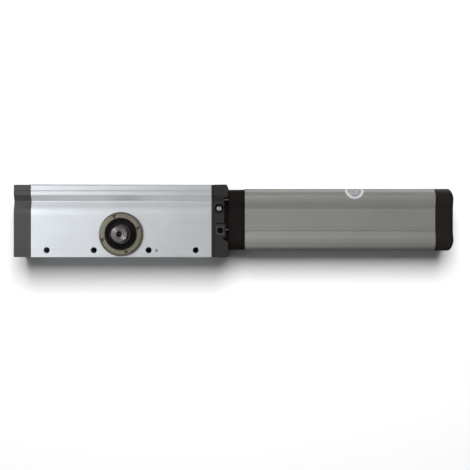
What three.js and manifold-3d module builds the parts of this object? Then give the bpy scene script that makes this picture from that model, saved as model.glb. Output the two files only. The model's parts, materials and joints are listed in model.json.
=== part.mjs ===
// Hydraulic gate opener: a rack-and-pinion jack with a splined output shaft, and its motor and pump
// in a tank on the same line. Millimetres. +X runs along the opener towards the tank, +Z along the
// output shaft away from the mounting face. The origin is on the shaft's axis, at the mounting face.
import * as THREE from "three";
import { mergeVertices } from "three/addons/utils/BufferGeometryUtils.js";
import Module from "manifold-3d";

const wasm = await Module();
wasm.setup();

// ---------------------------------------------------------------- driving dimensions
const SEAM = 0.25; // left between faces that touch

// The jack's aluminium extrusion, in its own section: Y up the section, Z through its depth.
const JACK = { length: 280, bottom: -36, top: 77, depth: 82, corner: 3 };
const GROOVE = { low: 35.5, root: 51.5, high: 60.5, depth: 5 };
const MID = JACK.depth / 2;
const JACK_END = JACK.length / 2;

// Along the opener, from the jack's right-hand end.
const LEFT_CAP = 27;
const PLATE_END = JACK_END + 4;
const BLOCK_END = JACK_END + 26;
const COLLAR_END = BLOCK_END + 24.5;
const TANK = { start: COLLAR_END + 1.2, length: 296 };
const TANK_END = TANK.start + TANK.length;
const RIGHT_CAP_END = TANK_END + 29;

// The tank's section: two bulges with round outer corners, and a flat waist between them.
const PACK = { y: 22.5, halfHeight: 48.4, halfDepth: 40, corner: 15.5, waist: 18.6, recess: 1.8 };
const TANK_WALL = 3;

// Cylinder, rack and pinion.
const BORE = { y: 42, radius: 25 };
const SPIGOT_REACH = 12;
const PINION = { teeth: 18, module: 3, pressure: THREE.MathUtils.degToRad(20), low: 20, high: 62 };
const PITCH_RADIUS = (PINION.teeth * PINION.module) / 2;
const PISTON = { halfLength: 84.5, headFrom: 68, radius: 24.6 };
const SEAL = { at: 76.5, inner: 21.4, halfWidth: 2.8 };
const POCKET = { radius: 31, floor: 18, seatRadius: 22, seatFloor: 6 };
const JOURNAL = 18;
const SEAL_LAND = 15;
const RING = { radius: 34, height: 6, faceRadius: 31.3, bore: 24.2, shank: 30.6, shankLow: 66 };
const RING_PINS = { circle: 29, radius: 2.5, depth: 4, first: THREE.MathUtils.degToRad(18.5) };
const SHAFT_END = JACK.depth + 28;
const SPLINE = { count: 30, tip: 13.4, root: 12.2, from: JACK.depth + 5 };
const END_TAP = { radius: 3.4, depth: 20 };

// Mounting holes through the jack, and the screws that close its two ends.
const MOUNT_HOLES = { x: [-115.5, -42.5, 42.5, 115.5], y: -25, radius: 4.5 };
const HEAD_SCREWS = [[62, 12], [62, 70], [-26, 12], [-26, 70]];
const M6 = { shank: 2.9, hole: 3.3, head: 5, headHeight: 6 };
const M5 = { shank: 2.4, hole: 2.8, head: 4.2, headHeight: 5 };
const CAP_SCREWS = { y: [58, -18], radius: 2, hole: 2.3, head: 4 };
const OIL_DUCT = { y: 38, z: 8, radius: 3.5 };
const BALL_PLUG = { x: 54.5, y: -25.5, radius: 1.9 };

// Valve block.
const BLEED = { x: 152, y: 39.5, recess: 8.5, floor: 75 };
const RELEASE = { x: 153.5, y: 5.5, width: 13.5, height: 15.5, hole: 4.4 };
const BYPASS = { x: 152, z: [25, 57], radius: 4.6, depth: 27 };

// Motor and pump, on the tank's axis.
const STATOR = { start: 229.3, length: 80, radius: 34.6, bore: 20 };
const MOTOR_SHAFT = 6;
const PUMP = { teeth: 10, module: 1.75, pressure: THREE.MathUtils.degToRad(28), start: BLOCK_END + 3.8 };
const PUMP_CENTRES = PUMP.teeth * PUMP.module;
const TIE = { u: 36, v: 27, radius: 2.5 };
const LABEL = { x: 362, radius: 14.4, tilt: THREE.MathUtils.degToRad(50) };

const ALONG_Z = new THREE.Euler();
const ALONG_X = new THREE.Euler(Math.PI / 2, Math.PI / 2, 0); // a drawn x, y, z becomes Y, Z, X
const ALONG_Y = new THREE.Euler(-Math.PI / 2, 0, 0); // a drawn z becomes Y

// ---------------------------------------------------------------- finishes
const finish = (color, roughness, metalness) =>
  new THREE.MeshStandardMaterial({ color, roughness, metalness });
const anodised = finish(0xc9ced4, 0.35, 0.9);
const greyPaint = finish(0x8b8b86, 0.5, 0.1);
const capPlastic = finish(0x3c3838, 0.4, 0);
const blackCasting = finish(0x2f2d2b, 0.5, 0.3);
const collarPlastic = finish(0x241c19, 0.45, 0);
const steel = finish(0x9b9794, 0.3, 0.95);
const zinc = finish(0xd2d0cc, 0.3, 0.9);
const blackSteel = finish(0x2a2725, 0.4, 0.8);
const oliveZinc = finish(0x8d8a72, 0.4, 0.8);
const bronze = finish(0xa87c48, 0.45, 0.8);
const rubber = finish(0x14100e, 0.75, 0);
const castIron = finish(0x4d4b49, 0.6, 0.6);
const copper = finish(0xb0663a, 0.4, 0.8);
const labelPaper = finish(0xd8d6da, 0.6, 0);

// ---------------------------------------------------------------- solids
/** A closed three.js geometry as a manifold-3d solid. */
function solid(geometry) {
  const bare = geometry.index ? geometry.toNonIndexed() : geometry.clone();
  bare.deleteAttribute("normal");
  bare.deleteAttribute("uv");
  const merged = mergeVertices(bare, 1e-4);
  return new wasm.Manifold(
    new wasm.Mesh({
      numProp: 3,
      vertProperties: merged.attributes.position.array,
      triVerts: new Uint32Array(merged.index.array),
    }),
  );
}

/** A manifold-3d solid as a three.js geometry. */
function geometryOf(shape) {
  const mesh = shape.getMesh();
  return new THREE.BufferGeometry()
    .setAttribute("position", new THREE.BufferAttribute(new Float32Array(mesh.vertProperties), 3))
    .setIndex(new THREE.BufferAttribute(new Uint32Array(mesh.triVerts), 1));
}

const cut = (from, ...tools) => tools.reduce((left, tool) => left.subtract(tool), from);
const join = (first, ...others) => others.reduce((sum, other) => sum.add(other), first);

/** A drawn outline pushed along z from low to high. */
function prism(shape, low, high, options = {}) {
  const settings = { depth: high - low, bevelEnabled: false, curveSegments: 3, ...options };
  return solid(new THREE.ExtrudeGeometry(shape, settings).translate(0, 0, low));
}

/** Extrusion settings that round off an outline's ends without making it larger. */
const bevel = (size, steps, thickness = size) => ({
  bevelEnabled: true,
  bevelThickness: thickness,
  bevelSize: size,
  bevelOffset: -size,
  bevelSegments: steps,
});

/** How many sides a round shape gets: more on a larger one. */
const sidesFor = (radius) => (radius < 4 ? 8 : radius < 14 ? 12 : 20);

/** A round bar along z, with its axis at x, y. */
function rod(radius, low, high, x = 0, y = 0, sides = sidesFor(radius)) {
  const bar = new THREE.CylinderGeometry(radius, radius, high - low, sides).rotateX(Math.PI / 2);
  return solid(bar.translate(x, y, (low + high) / 2));
}

/** A block from one corner to the other. */
function block([x0, y0, z0], [x1, y1, z1]) {
  const box = new THREE.BoxGeometry(x1 - x0, y1 - y0, z1 - z0);
  return solid(box.translate((x0 + x1) / 2, (y0 + y1) / 2, (z0 + z1) / 2));
}

/** A profile of [radius, height] points, up its outside and down its inside, turned about z. */
function turned(profile) {
  const sides = sidesFor(Math.max(...profile.map(([radius]) => radius)));
  const closed = profile[0][0] === 0 ? profile : [...profile, profile[0]];
  const points = closed.map(([radius, height]) => new THREE.Vector2(radius, height));
  return solid(new THREE.LatheGeometry(points, sides).rotateX(Math.PI / 2));
}

/** A plain ring along z. */
const ring = (outer, inner, low, high) =>
  turned([[inner, low], [outer, low], [outer, high], [inner, high]]);

/** A hexagonal bar along z, by its radius across corners. */
const hexBar = (radius, low, high) => rod(radius, low, high, 0, 0, 6);

/** A solid turned from its drawn frame into the opener's: for a tool that runs along X or Y. */
function aimed(shape, turn, at = [0, 0, 0]) {
  const place = new THREE.Matrix4().makeRotationFromEuler(turn).setPosition(...at);
  return shape.transform(place.elements);
}

/** A named mesh, with its drawn z turned along X, Y or Z and its drawn origin at a point. */
function part(name, shape, material, at = [0, 0, 0], turn = ALONG_Z) {
  const mesh = new THREE.Mesh(geometryOf(shape), material);
  mesh.name = name;
  mesh.position.set(...at);
  mesh.rotation.copy(turn);
  return mesh;
}

// ---------------------------------------------------------------- outlines
/** The jack's section, drawn with x for Y and y for Z, moved in by inset. */
function jackOutline(inset = 0) {
  const low = JACK.bottom + inset;
  const high = JACK.top - inset;
  const back = inset;
  const front = JACK.depth - inset;
  const corner = JACK.corner;
  const outline = new THREE.Shape();
  outline.moveTo(low, back);
  outline.lineTo(GROOVE.low, back);
  outline.lineTo(GROOVE.root, back + GROOVE.depth);
  outline.lineTo(GROOVE.high, back);
  outline.absarc(high - corner, back + corner, corner, -Math.PI / 2, 0);
  outline.absarc(high - corner, front - corner, corner, 0, Math.PI / 2);
  outline.lineTo(GROOVE.high, front);
  outline.lineTo(GROOVE.root, front - GROOVE.depth);
  outline.lineTo(GROOVE.low, front);
  outline.lineTo(low, front);
  outline.closePath();
  return outline;
}

/** The tank's section, drawn with x for Y and y for Z, moved in by inset. */
function packOutline(inset = 0) {
  const radius = PACK.corner - inset;
  const rise = PACK.halfHeight - PACK.corner;
  const reach = PACK.halfDepth - PACK.corner;
  const waistDepth = PACK.halfDepth - PACK.recess - inset;
  const quarter = Math.PI / 2;
  const outline = new THREE.Shape();
  outline.absarc(PACK.y + rise, MID + reach, radius, 0, quarter);
  outline.lineTo(PACK.y + PACK.waist, MID + waistDepth);
  outline.lineTo(PACK.y - PACK.waist, MID + waistDepth);
  outline.absarc(PACK.y - rise, MID + reach, radius, quarter, 2 * quarter);
  outline.absarc(PACK.y - rise, MID - reach, radius, 2 * quarter, 3 * quarter);
  outline.lineTo(PACK.y - PACK.waist, MID - waistDepth);
  outline.lineTo(PACK.y + PACK.waist, MID - waistDepth);
  outline.absarc(PACK.y + rise, MID - reach, radius, 3 * quarter, 4 * quarter);
  outline.closePath();
  return outline;
}

/** An involute gear's outline with its first tooth at the angle first, thinned for running play. */
function gearOutline({ teeth, module, pressure }, first, play = 0.3, flankSteps = 2) {
  const pitch = (teeth * module) / 2;
  const base = pitch * Math.cos(pressure);
  const tip = pitch + module;
  const root = pitch - 1.25 * module;
  const involute = (angle) => Math.tan(angle) - angle;
  const halfAtPitch = Math.PI / (2 * teeth) - play / (4 * pitch);
  const halfAt = (radius) => {
    const angle = radius > base ? Math.acos(base / radius) : 0;
    return halfAtPitch + involute(pressure) - involute(angle);
  };
  const start = Math.max(base, root);
  const flank = [root];
  for (let i = 0; i <= flankSteps; i++) flank.push(start + ((tip - start) * i) / flankSteps);
  const points = [];
  for (let tooth = 0; tooth < teeth; tooth++) {
    const middle = first + (2 * Math.PI * tooth) / teeth;
    for (const radius of flank) points.push([radius, middle - halfAt(radius)]);
    for (const radius of [...flank].reverse()) points.push([radius, middle + halfAt(radius)]);
  }
  return new THREE.Shape(
    points.map(([radius, angle]) => new THREE.Vector2(radius * Math.cos(angle), radius * Math.sin(angle))),
  );
}

/** A socket-head screw along z: its head stands above zero and its shank hangs below. */
function socketScrew({ shank, head, headHeight }, length) {
  const body = turned(
    [[0, -length], [shank, -length], [shank, 0], [head, 0], [head, headHeight], [0, headHeight]],
  );
  return cut(body, hexBar(head * 0.5, headHeight * 0.5, headHeight + 1));
}

// ---------------------------------------------------------------- jack body and its left-hand end
function jackBody() {
  const ends = HEAD_SCREWS.flatMap(([y, z]) => [
    rod(M6.hole, -JACK_END - 1, -JACK_END + 16, y, z),
    rod(M6.hole, JACK_END - 16, JACK_END + 1, y, z),
  ]);
  const section = cut(
    prism(jackOutline(), -JACK_END, JACK_END),
    rod(BORE.radius, -JACK_END - 1, JACK_END + 1, BORE.y, MID),
    rod(OIL_DUCT.radius, -JACK_END - 1, JACK_END + 1, OIL_DUCT.y, OIL_DUCT.z),
    ...ends,
  );
  const holes = MOUNT_HOLES.x.map((x) => rod(MOUNT_HOLES.radius, -1, JACK.depth + 1, x, MOUNT_HOLES.y));
  const shape = cut(
    aimed(section, ALONG_X),
    rod(POCKET.radius, POCKET.floor, JACK.depth + 1, 0, 0),
    rod(POCKET.seatRadius, POCKET.seatFloor, POCKET.floor + 1, 0, 0),
    rod(BALL_PLUG.radius + 0.3, JACK.depth - 3, JACK.depth + 1, BALL_PLUG.x, BALL_PLUG.y),
    ...holes,
  );
  return part("jack_body", shape, anodised);
}

/** A spigot with its seal groove, along z from the closed end of the bore to its tip. */
function spigot() {
  const reach = SPIGOT_REACH + SEAM;
  return turned(
    [
      [0, -1], [BORE.radius - 0.4, -1], [BORE.radius - 0.4, reach - 7.5], [22.4, reach - 7.5],
      [22.4, reach - 3.5], [BORE.radius - 0.4, reach - 3.5], [BORE.radius - 0.4, reach], [0, reach],
    ],
  );
}

const sealRing = () => solid(new THREE.TorusGeometry(23.6, 1, 5, 20));
const O_RING_AT = JACK_END - SPIGOT_REACH + 5.5;

function leftHead() {
  const start = -JACK_END - 12 - SEAM;
  const plate = cut(
    prism(jackOutline(4), start, -JACK_END - SEAM),
    ...HEAD_SCREWS.map(([y, z]) => rod(M6.hole, start - 1, -JACK_END + 1, y, z)),
    ...CAP_SCREWS.y.map((y) => rod(CAP_SCREWS.hole, start - 1, start + 8, y, MID)),
    rod(OIL_DUCT.radius, start + 4, -JACK_END, OIL_DUCT.y, OIL_DUCT.z),
  );
  const plug = spigot().translate([BORE.y, MID, -JACK_END - SEAM]);
  return part("left_head", join(plate, plug), steel, [0, 0, 0], ALONG_X);
}

function leftEndCap() {
  const low = -JACK_END - LEFT_CAP;
  const high = -JACK_END - SEAM;
  const blank = prism(jackOutline(), low + 1.6, high + 8, bevel(1.6, 2));
  const shell = cut(
    blank,
    prism(jackOutline(3.2), low + 3.2, high + 20),
    block([JACK.bottom - 5, -5, high], [JACK.top + 5, JACK.depth + 5, high + 20]),
  );
  const boss = ring(6, CAP_SCREWS.hole, low + 3, high - 12.6);
  const bosses = CAP_SCREWS.y.map((y) => boss.translate([y, MID, 0]));
  const holes = CAP_SCREWS.y.flatMap((y) => [
    rod(CAP_SCREWS.hole, low - 1, low + 12, y, MID),
    rod(CAP_SCREWS.head + 0.3, low - 1, low + 1.6, y, MID),
  ]);
  return part("left_end_cap", cut(join(shell, ...bosses), ...holes), capPlastic, [0, 0, 0], ALONG_X);
}

/** A pan-head screw along z, its head's rim at zero and its shank above. */
function panScrew(length) {
  const { radius, head } = CAP_SCREWS;
  const body = turned(
    [[0, -1.2], [head - 1.4, -1.2], [head, -0.2], [head, 0], [radius, 0], [radius, length], [0, length]],
  );
  return cut(body, block([-2.2, -0.4, -2], [2.2, 0.4, -0.5]), block([-0.4, -2.2, -2], [0.4, 2.2, -0.5]));
}

function leftEnd() {
  const screw = socketScrew(M6, 26);
  const underHead = -JACK_END - 12 - 2 * SEAM;
  const flip = new THREE.Euler(-Math.PI / 2, -Math.PI / 2, 0);
  const headScrews = HEAD_SCREWS.map(([y, z], i) =>
    part(`left_head_screw_${i + 1}`, screw, zinc, [underHead, y, z], flip),
  );
  const capScrews = CAP_SCREWS.y.map((y, i) =>
    part(`left_cap_screw_${i + 1}`, panScrew(17), zinc, [-JACK_END - LEFT_CAP + 1.4, y, MID], ALONG_X),
  );
  const oRing = part("left_head_o_ring", sealRing(), rubber, [-O_RING_AT, BORE.y, MID], ALONG_X);
  return [leftHead(), oRing, leftEndCap(), ...headScrews, ...capScrews];
}

// ---------------------------------------------------------------- output shaft, bearings and ring nut
function outputShaft() {
  const gear = prism(gearOutline(PINION, Math.PI / 2), PINION.low, PINION.high);
  const core = turned(
    [
      [0, POCKET.seatFloor + 0.6], [JOURNAL - 1, POCKET.seatFloor + 0.6], [JOURNAL, POCKET.seatFloor + 1.6],
      [JOURNAL, 76.8], [SEAL_LAND, 76.8], [SEAL_LAND, SPLINE.from], [SPLINE.root, SPLINE.from + 2],
      [SPLINE.root, SHAFT_END], [0, SHAFT_END],
    ],
  );
  const serrations = [];
  for (let i = 0; i < 2 * SPLINE.count; i++) {
    const radius = i % 2 ? SPLINE.tip : SPLINE.root - 0.2;
    const angle = (Math.PI * i) / SPLINE.count;
    serrations.push(new THREE.Vector2(radius * Math.cos(angle), radius * Math.sin(angle)));
  }
  const spline = prism(new THREE.Shape(serrations), SPLINE.from + 1, SHAFT_END);
  const tap = turned(
    [
      [0, SHAFT_END - END_TAP.depth], [END_TAP.radius, SHAFT_END - END_TAP.depth + 2],
      [END_TAP.radius, SHAFT_END - 1.2], [END_TAP.radius + 2.2, SHAFT_END + 1], [0, SHAFT_END + 1],
    ],
  );
  return part("output_shaft", cut(join(gear, core, spline), tap), steel);
}

function ringNut() {
  const face = JACK.depth + SEAM;
  const front = JACK.depth + RING.height;
  const body = turned(
    [
      [RING.bore, RING.shankLow], [RING.shank, RING.shankLow], [RING.shank, face], [RING.radius, face],
      [RING.radius, face + 1.2], [RING.faceRadius, front], [RING.bore + 0.8, front], [RING.bore, front - 0.8],
    ],
  );
  const pins = [0, 1, 2, 3].map((i) => {
    const angle = RING_PINS.first + (i * Math.PI) / 2;
    const [x, y] = [RING_PINS.circle * Math.cos(angle), RING_PINS.circle * Math.sin(angle)];
    return rod(RING_PINS.radius, front - RING_PINS.depth, front + 1, x, y);
  });
  return part("ring_nut", cut(body, ...pins), oliveZinc);
}

function shaftSeal() {
  const outer = RING.bore - 0.3;
  const inner = SEAL_LAND + 0.3;
  return turned(
    [
      [inner, 79], [inner + 1.2, 77], [outer, 77], [outer, 84], [outer - 2.5, 84], [outer - 4, 82.4],
      [inner + 2, 82.4], [inner + 0.6, 84.2], [inner, 84.2],
    ],
  );
}

function shaftBearings() {
  const seat = POCKET.seatRadius - 0.3;
  const running = JOURNAL + 0.3;
  return [
    part("rear_bush", ring(seat, running, POCKET.seatFloor + 0.3, POCKET.floor - 0.3), bronze),
    part("front_bush", ring(RING.bore - 0.3, running, RING.shankLow + 0.3, 76.6), bronze),
    part("shaft_seal", shaftSeal(), rubber),
  ];
}

// ---------------------------------------------------------------- rack piston
function rackPiston() {
  const { module, pressure } = PINION;
  const length = PISTON.halfLength;
  const tip = PITCH_RADIUS - module + 0.15;
  const root = PITCH_RADIUS + 1.25 * module;
  const pitch = Math.PI * module;
  const play = 0.15;
  const halfSpace = (depth) => pitch / 4 + play / 2 - (depth - PITCH_RADIUS) * Math.tan(pressure);
  const lastSpace = 6;
  const rackEnd = (lastSpace + 0.35) * pitch;
  const floor = -BORE.radius - 1;
  const clearAbove = (level) => (x0, x1) => block([x0, floor, -30], [x1, level - BORE.y, 30]);
  const spaces = [];
  for (let i = -lastSpace; i <= lastSpace; i++) {
    const outline = new THREE.Shape([
      new THREE.Vector2(i * pitch - halfSpace(tip - 1), tip - 1 - BORE.y),
      new THREE.Vector2(i * pitch + halfSpace(tip - 1), tip - 1 - BORE.y),
      new THREE.Vector2(i * pitch + halfSpace(root), root - BORE.y),
      new THREE.Vector2(i * pitch - halfSpace(root), root - BORE.y),
    ]);
    spaces.push(prism(outline, -30, 30));
  }
  const groove = SEAL.halfWidth + 0.4;
  const grooves = [-SEAL.at, SEAL.at].map((at) =>
    ring(BORE.radius + 1, SEAL.inner - 0.3, at - groove, at + groove),
  );
  const bar = aimed(cut(rod(PISTON.radius, -length, length, 0, 0), ...grooves), ALONG_X);
  const shape = cut(
    bar,
    clearAbove(tip)(-PISTON.headFrom, PISTON.headFrom),
    clearAbove(root + 0.2)(-PISTON.headFrom, -rackEnd),
    clearAbove(root + 0.2)(rackEnd, PISTON.headFrom),
    ...spaces,
  );
  return part("rack_piston", shape, steel, [0, BORE.y, MID]);
}

function pistonSeals() {
  const seal = ring(BORE.radius - 0.2, SEAL.inner, -SEAL.halfWidth, SEAL.halfWidth);
  return [
    part("left_piston_seal", seal, rubber, [-SEAL.at, BORE.y, MID], ALONG_X),
    part("right_piston_seal", seal, rubber, [SEAL.at, BORE.y, MID], ALONG_X),
  ];
}

// ---------------------------------------------------------------- valve block
function endPlate() {
  const shape = cut(
    prism(jackOutline(), JACK_END + SEAM, PLATE_END - SEAM),
    rod(BORE.radius, JACK_END - 1, PLATE_END + 1, BORE.y, MID),
    rod(OIL_DUCT.radius, JACK_END - 1, PLATE_END + 1, OIL_DUCT.y, OIL_DUCT.z),
    ...HEAD_SCREWS.map(([y, z]) => rod(M6.hole, JACK_END - 1, PLATE_END + 1, y, z)),
  );
  return part("end_plate", shape, blackCasting, [0, 0, 0], ALONG_X);
}

function valveBlock() {
  const screwSeat = BLOCK_END - M6.headHeight - 0.8;
  const section = cut(
    prism(jackOutline(), PLATE_END, BLOCK_END),
    rod(OIL_DUCT.radius, PLATE_END - 1, BLOCK_END - 10, OIL_DUCT.y, OIL_DUCT.z),
    ...HEAD_SCREWS.flatMap(([y, z]) => [
      rod(M6.hole, PLATE_END - 1, BLOCK_END + 1, y, z),
      rod(M6.head + 0.3, screwSeat, BLOCK_END + 1, y, z),
    ]),
    ...PUMP_SCREWS.map((y) => rod(M5.hole, BLOCK_END - 12, BLOCK_END + 1, y, MID)),
  );
  const plug = aimed(spigot(), new THREE.Euler(-Math.PI / 2, -Math.PI / 2, 0), [PLATE_END, BORE.y, MID]);
  const throat = aimed(rod(BORE.radius - 0.4, JACK_END - 1, PLATE_END + 1, BORE.y, MID), ALONG_X);
  const chamfer = new THREE.Shape([
    new THREE.Vector2(BLOCK_END - 2.8, JACK.top + 1),
    new THREE.Vector2(BLOCK_END + 1, JACK.top + 1),
    new THREE.Vector2(BLOCK_END + 1, JACK.top - 7.6),
  ]);
  const edgeRecess = new THREE.Shape([
    new THREE.Vector2(BLOCK_END + 1, -14),
    new THREE.Vector2(BLOCK_END + 1, 56.4),
    new THREE.Vector2(BLOCK_END - 6.5, 56.4),
    new THREE.Vector2(BLOCK_END - 6.5, 17.5),
    new THREE.Vector2(BLOCK_END - 3.5, 16),
    new THREE.Vector2(BLOCK_END - 3.5, -6),
  ]);
  const top = JACK.depth + 1;
  const [halfWidth, halfHeight] = [RELEASE.width / 2 + 0.3, RELEASE.height / 2 + 0.3];
  const shape = cut(
    join(aimed(section, ALONG_X), plug.translate([-4, 0, 0]), throat),
    prism(chamfer, -1, top),
    prism(edgeRecess, JACK.depth - 42, top),
    rod(BLEED.recess, BLEED.floor, top, BLEED.x, BLEED.y),
    rod(3.3, BLEED.floor - 24, top, BLEED.x, BLEED.y),
    block(
      [RELEASE.x - halfWidth, RELEASE.y - halfHeight, JACK.depth - 4.3],
      [RELEASE.x + halfWidth, RELEASE.y + halfHeight, top],
    ),
    rod(5.3, 45, top, RELEASE.x, RELEASE.y),
    ...BYPASS.z.map((z) =>
      aimed(rod(BYPASS.radius + 0.3, 0, BYPASS.depth + 4, 0, 0), ALONG_Y, [
        BYPASS.x,
        JACK.top - BYPASS.depth - 2,
        z,
      ]),
    ),
  );
  return part("valve_block", shape, blackCasting);
}

function bleedScrew() {
  const body = turned(
    [
      [0, -20], [2.6, -20], [3, -19], [3, 0], [6, 0], [6, 1], [3.9, 1], [3.9, 4.6], [3.3, 5.2], [0, 5.2],
    ],
  );
  return part("bleed_screw", cut(body, hexBar(1.6, 2.6, 6)), zinc, [BLEED.x, BLEED.y, BLEED.floor + SEAM]);
}

/** The key guide: a square bezel with a raised rim and a round hole down to the release spindle. */
function releaseGuide() {
  const [w, h] = [RELEASE.width / 2, RELEASE.height / 2];
  const bezel = cut(
    block([-w, -h, 0], [w, h, 4.9]),
    block([-w + 1.4, -h + 1.4, 3.9], [w - 1.4, h - 1.4, 6]),
    rod(RELEASE.hole, -1, 6, 0, 0),
  );
  return part("release_guide", bezel, collarPlastic, [RELEASE.x, RELEASE.y, JACK.depth - 4]);
}

/** The release valve's spindle: a three-sided head for the key, a collar and a conical seat. */
function releaseSpindle() {
  const key = rod(3.6, 62, 70, 0, 0, 3);
  const stem = turned(
    [[0, 46], [1.2, 46], [3, 49], [3, 56], [5, 56], [5, 62], [4, 63], [0, 63]],
  );
  return part("release_spindle", join(key, stem), blackSteel, [RELEASE.x, RELEASE.y, 0]);
}

function bypassScrews() {
  const screw = cut(
    turned([
      [0, 0], [1.5, 0], [3.4, 4], [3.4, 14], [BYPASS.radius, 14], [BYPASS.radius, BYPASS.depth],
      [0, BYPASS.depth],
    ]),
    block([-6, -0.6, BYPASS.depth - 1.6], [6, 0.6, BYPASS.depth + 1]),
  );
  const foot = JACK.top - BYPASS.depth - 0.8;
  return BYPASS.z.map((z, i) => part(`bypass_screw_${i + 1}`, screw, bronze, [BYPASS.x, foot, z], ALONG_Y));
}

function rightEnd() {
  const seat = BLOCK_END - M6.headHeight - 0.8 + SEAM;
  const screw = socketScrew(M6, 32);
  return [
    endPlate(),
    valveBlock(),
    part("valve_block_o_ring", sealRing(), rubber, [O_RING_AT, BORE.y, MID], ALONG_X),
    ...HEAD_SCREWS.map(([y, z], i) => part(`valve_block_screw_${i + 1}`, screw, zinc, [seat, y, z], ALONG_X)),
    releaseGuide(),
  ];
}

// ---------------------------------------------------------------- pump
const GEAR_FACE = { low: PUMP.start + 0.3, high: PUMP.start + 12.5 };
const IDLER_Y = PACK.y + PUMP_CENTRES;
const PUMP_SCREWS = [PACK.y - 15.5, IDLER_Y + 15.5];
const STUB = 5;
const STRAINER = { y: -10, radius: 8, length: 22, wall: 1.5, ribs: 3 };

function pumpBodyOutline() {
  const outline = new THREE.Shape();
  outline.absarc(PUMP_SCREWS[0], MID, 5.6, Math.PI / 2 + 0.6, 1.5 * Math.PI - 0.6);
  outline.absarc(PACK.y, MID, 17, 1.5 * Math.PI - 0.4, 1.5 * Math.PI);
  outline.absarc(IDLER_Y, MID, 17, 1.5 * Math.PI, 1.5 * Math.PI + 0.4);
  outline.absarc(PUMP_SCREWS[1], MID, 5.6, -Math.PI / 2 + 0.6, Math.PI / 2 - 0.6);
  outline.absarc(IDLER_Y, MID, 17, Math.PI / 2 - 0.4, Math.PI / 2);
  outline.absarc(PACK.y, MID, 17, Math.PI / 2, Math.PI / 2 + 0.4);
  outline.closePath();
  return outline;
}

function pump() {
  const tip = PUMP_CENTRES / 2 + PUMP.module + 0.6;
  const screwHoles = (low, high) => PUMP_SCREWS.map((y) => rod(M5.hole, low, high, y, MID));
  const plate = cut(
    prism(pumpBodyOutline(), BLOCK_END + SEAM, PUMP.start - SEAM),
    rod(STUB + 0.3, BLOCK_END, PUMP.start + 1, PACK.y, MID),
    rod(STUB + 0.3, BLOCK_END, PUMP.start + 1, IDLER_Y, MID),
    ...screwHoles(BLOCK_END - 1, PUMP.start + 1),
  );
  const body = cut(
    prism(pumpBodyOutline(), PUMP.start, PUMP.start + 19),
    rod(tip, PUMP.start - 1, GEAR_FACE.high + 0.3, PACK.y, MID),
    rod(tip, PUMP.start - 1, GEAR_FACE.high + 0.3, IDLER_Y, MID),
    rod(STUB + 0.3, PUMP.start, PUMP.start + 20, PACK.y, MID),
    rod(STUB + 0.3, PUMP.start, PUMP.start + 17, IDLER_Y, MID),
    ...screwHoles(PUMP.start - 1, PUMP.start + 20),
  );
  const screw = socketScrew(M5, 32);
  return [
    part("pump_plate", plate, steel, [0, 0, 0], ALONG_X),
    part("pump_body", body, castIron, [0, 0, 0], ALONG_X),
    ...PUMP_SCREWS.map((y, i) =>
      part(`pump_screw_${i + 1}`, screw, zinc, [PUMP.start + 19 + SEAM, y, MID], ALONG_X),
    ),
    suctionStrainer(),
  ];
}

/** A pump gear on its stub shaft, along z from the valve block. */
function pumpGear(first, stubEnd) {
  const gear = prism(gearOutline(PUMP, first, 0.36), GEAR_FACE.low, GEAR_FACE.high);
  return join(gear, rod(STUB, BLOCK_END + 0.6, stubEnd, 0, 0));
}

/** The suction strainer: a ribbed cup that opens at the valve block, below the pump. */
function suctionStrainer() {
  const { radius, length, wall, ribs } = STRAINER;
  const outside = [[radius, 0], [radius, 3]];
  for (let i = 0; i < ribs; i++) {
    const low = 3.5 + ((length - 4) * i) / ribs;
    outside.push([radius - 1, low], [radius - 1, low + 3], [radius, low + 3.5]);
  }
  const bore = radius - 1 - wall;
  const inside = [[0, length], [0, length - wall], [bore, length - wall], [bore, 0]];
  const cup = turned([...outside, [radius, length], ...inside]);
  return part("suction_strainer", cup, bronze, [BLOCK_END + SEAM, STRAINER.y, MID], ALONG_X);
}

// ---------------------------------------------------------------- motor
function motorStator() {
  const slots = [];
  for (let i = 0; i < 12; i++) {
    const angle = (Math.PI * i) / 6;
    const [x, y] = [22.5 * Math.cos(angle), 22.5 * Math.sin(angle)];
    slots.push(rod(2.2, -1, STATOR.length + 1, x, y, 6));
  }
  return part(
    "motor_stator",
    cut(ring(STATOR.radius, STATOR.bore, 0, STATOR.length), ...slots),
    castIron,
    [STATOR.start, PACK.y, MID],
    ALONG_X,
  );
}

/** A motor end shield: a webbed disc with a seat for its bearing, along z. */
function motorShield() {
  const windows = [0, 1, 2, 3].map((i) => {
    const angle = Math.PI / 4 + (i * Math.PI) / 2;
    return rod(6, -1, 9, 25 * Math.cos(angle), 25 * Math.sin(angle));
  });
  const disc = turned([[9, 0], [STATOR.radius, 0], [STATOR.radius, 8], [14.3, 8], [14.3, 1.5], [9, 1.5]]);
  return cut(disc, ...windows);
}

function motorStill() {
  const winding = turned(
    [[22, 0], [33, 0], [33, 9], [30, 13], [25, 13], [22, 9]],
  );
  const bearing = ring(14, MOTOR_SHAFT + 0.3, 0, 6);
  const end = STATOR.start + STATOR.length;
  const back = new THREE.Euler(-Math.PI / 2, -Math.PI / 2, 0);
  const frontShield = STATOR.start - 18;
  const rearShield = end + 18;
  return [
    motorStator(),
    part("front_winding", winding, copper, [STATOR.start - 0.4, PACK.y, MID], back),
    part("rear_winding", winding, copper, [end + 0.4, PACK.y, MID], ALONG_X),
    part("front_motor_shield", motorShield(), blackCasting, [frontShield - 8, PACK.y, MID], ALONG_X),
    part("rear_motor_shield", motorShield(), blackCasting, [rearShield + 8, PACK.y, MID], back),
    part("front_bearing", bearing, steel, [frontShield - 6.2, PACK.y, MID], ALONG_X),
    part("rear_bearing", bearing, steel, [rearShield + 0.2, PACK.y, MID], ALONG_X),
  ];
}

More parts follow.
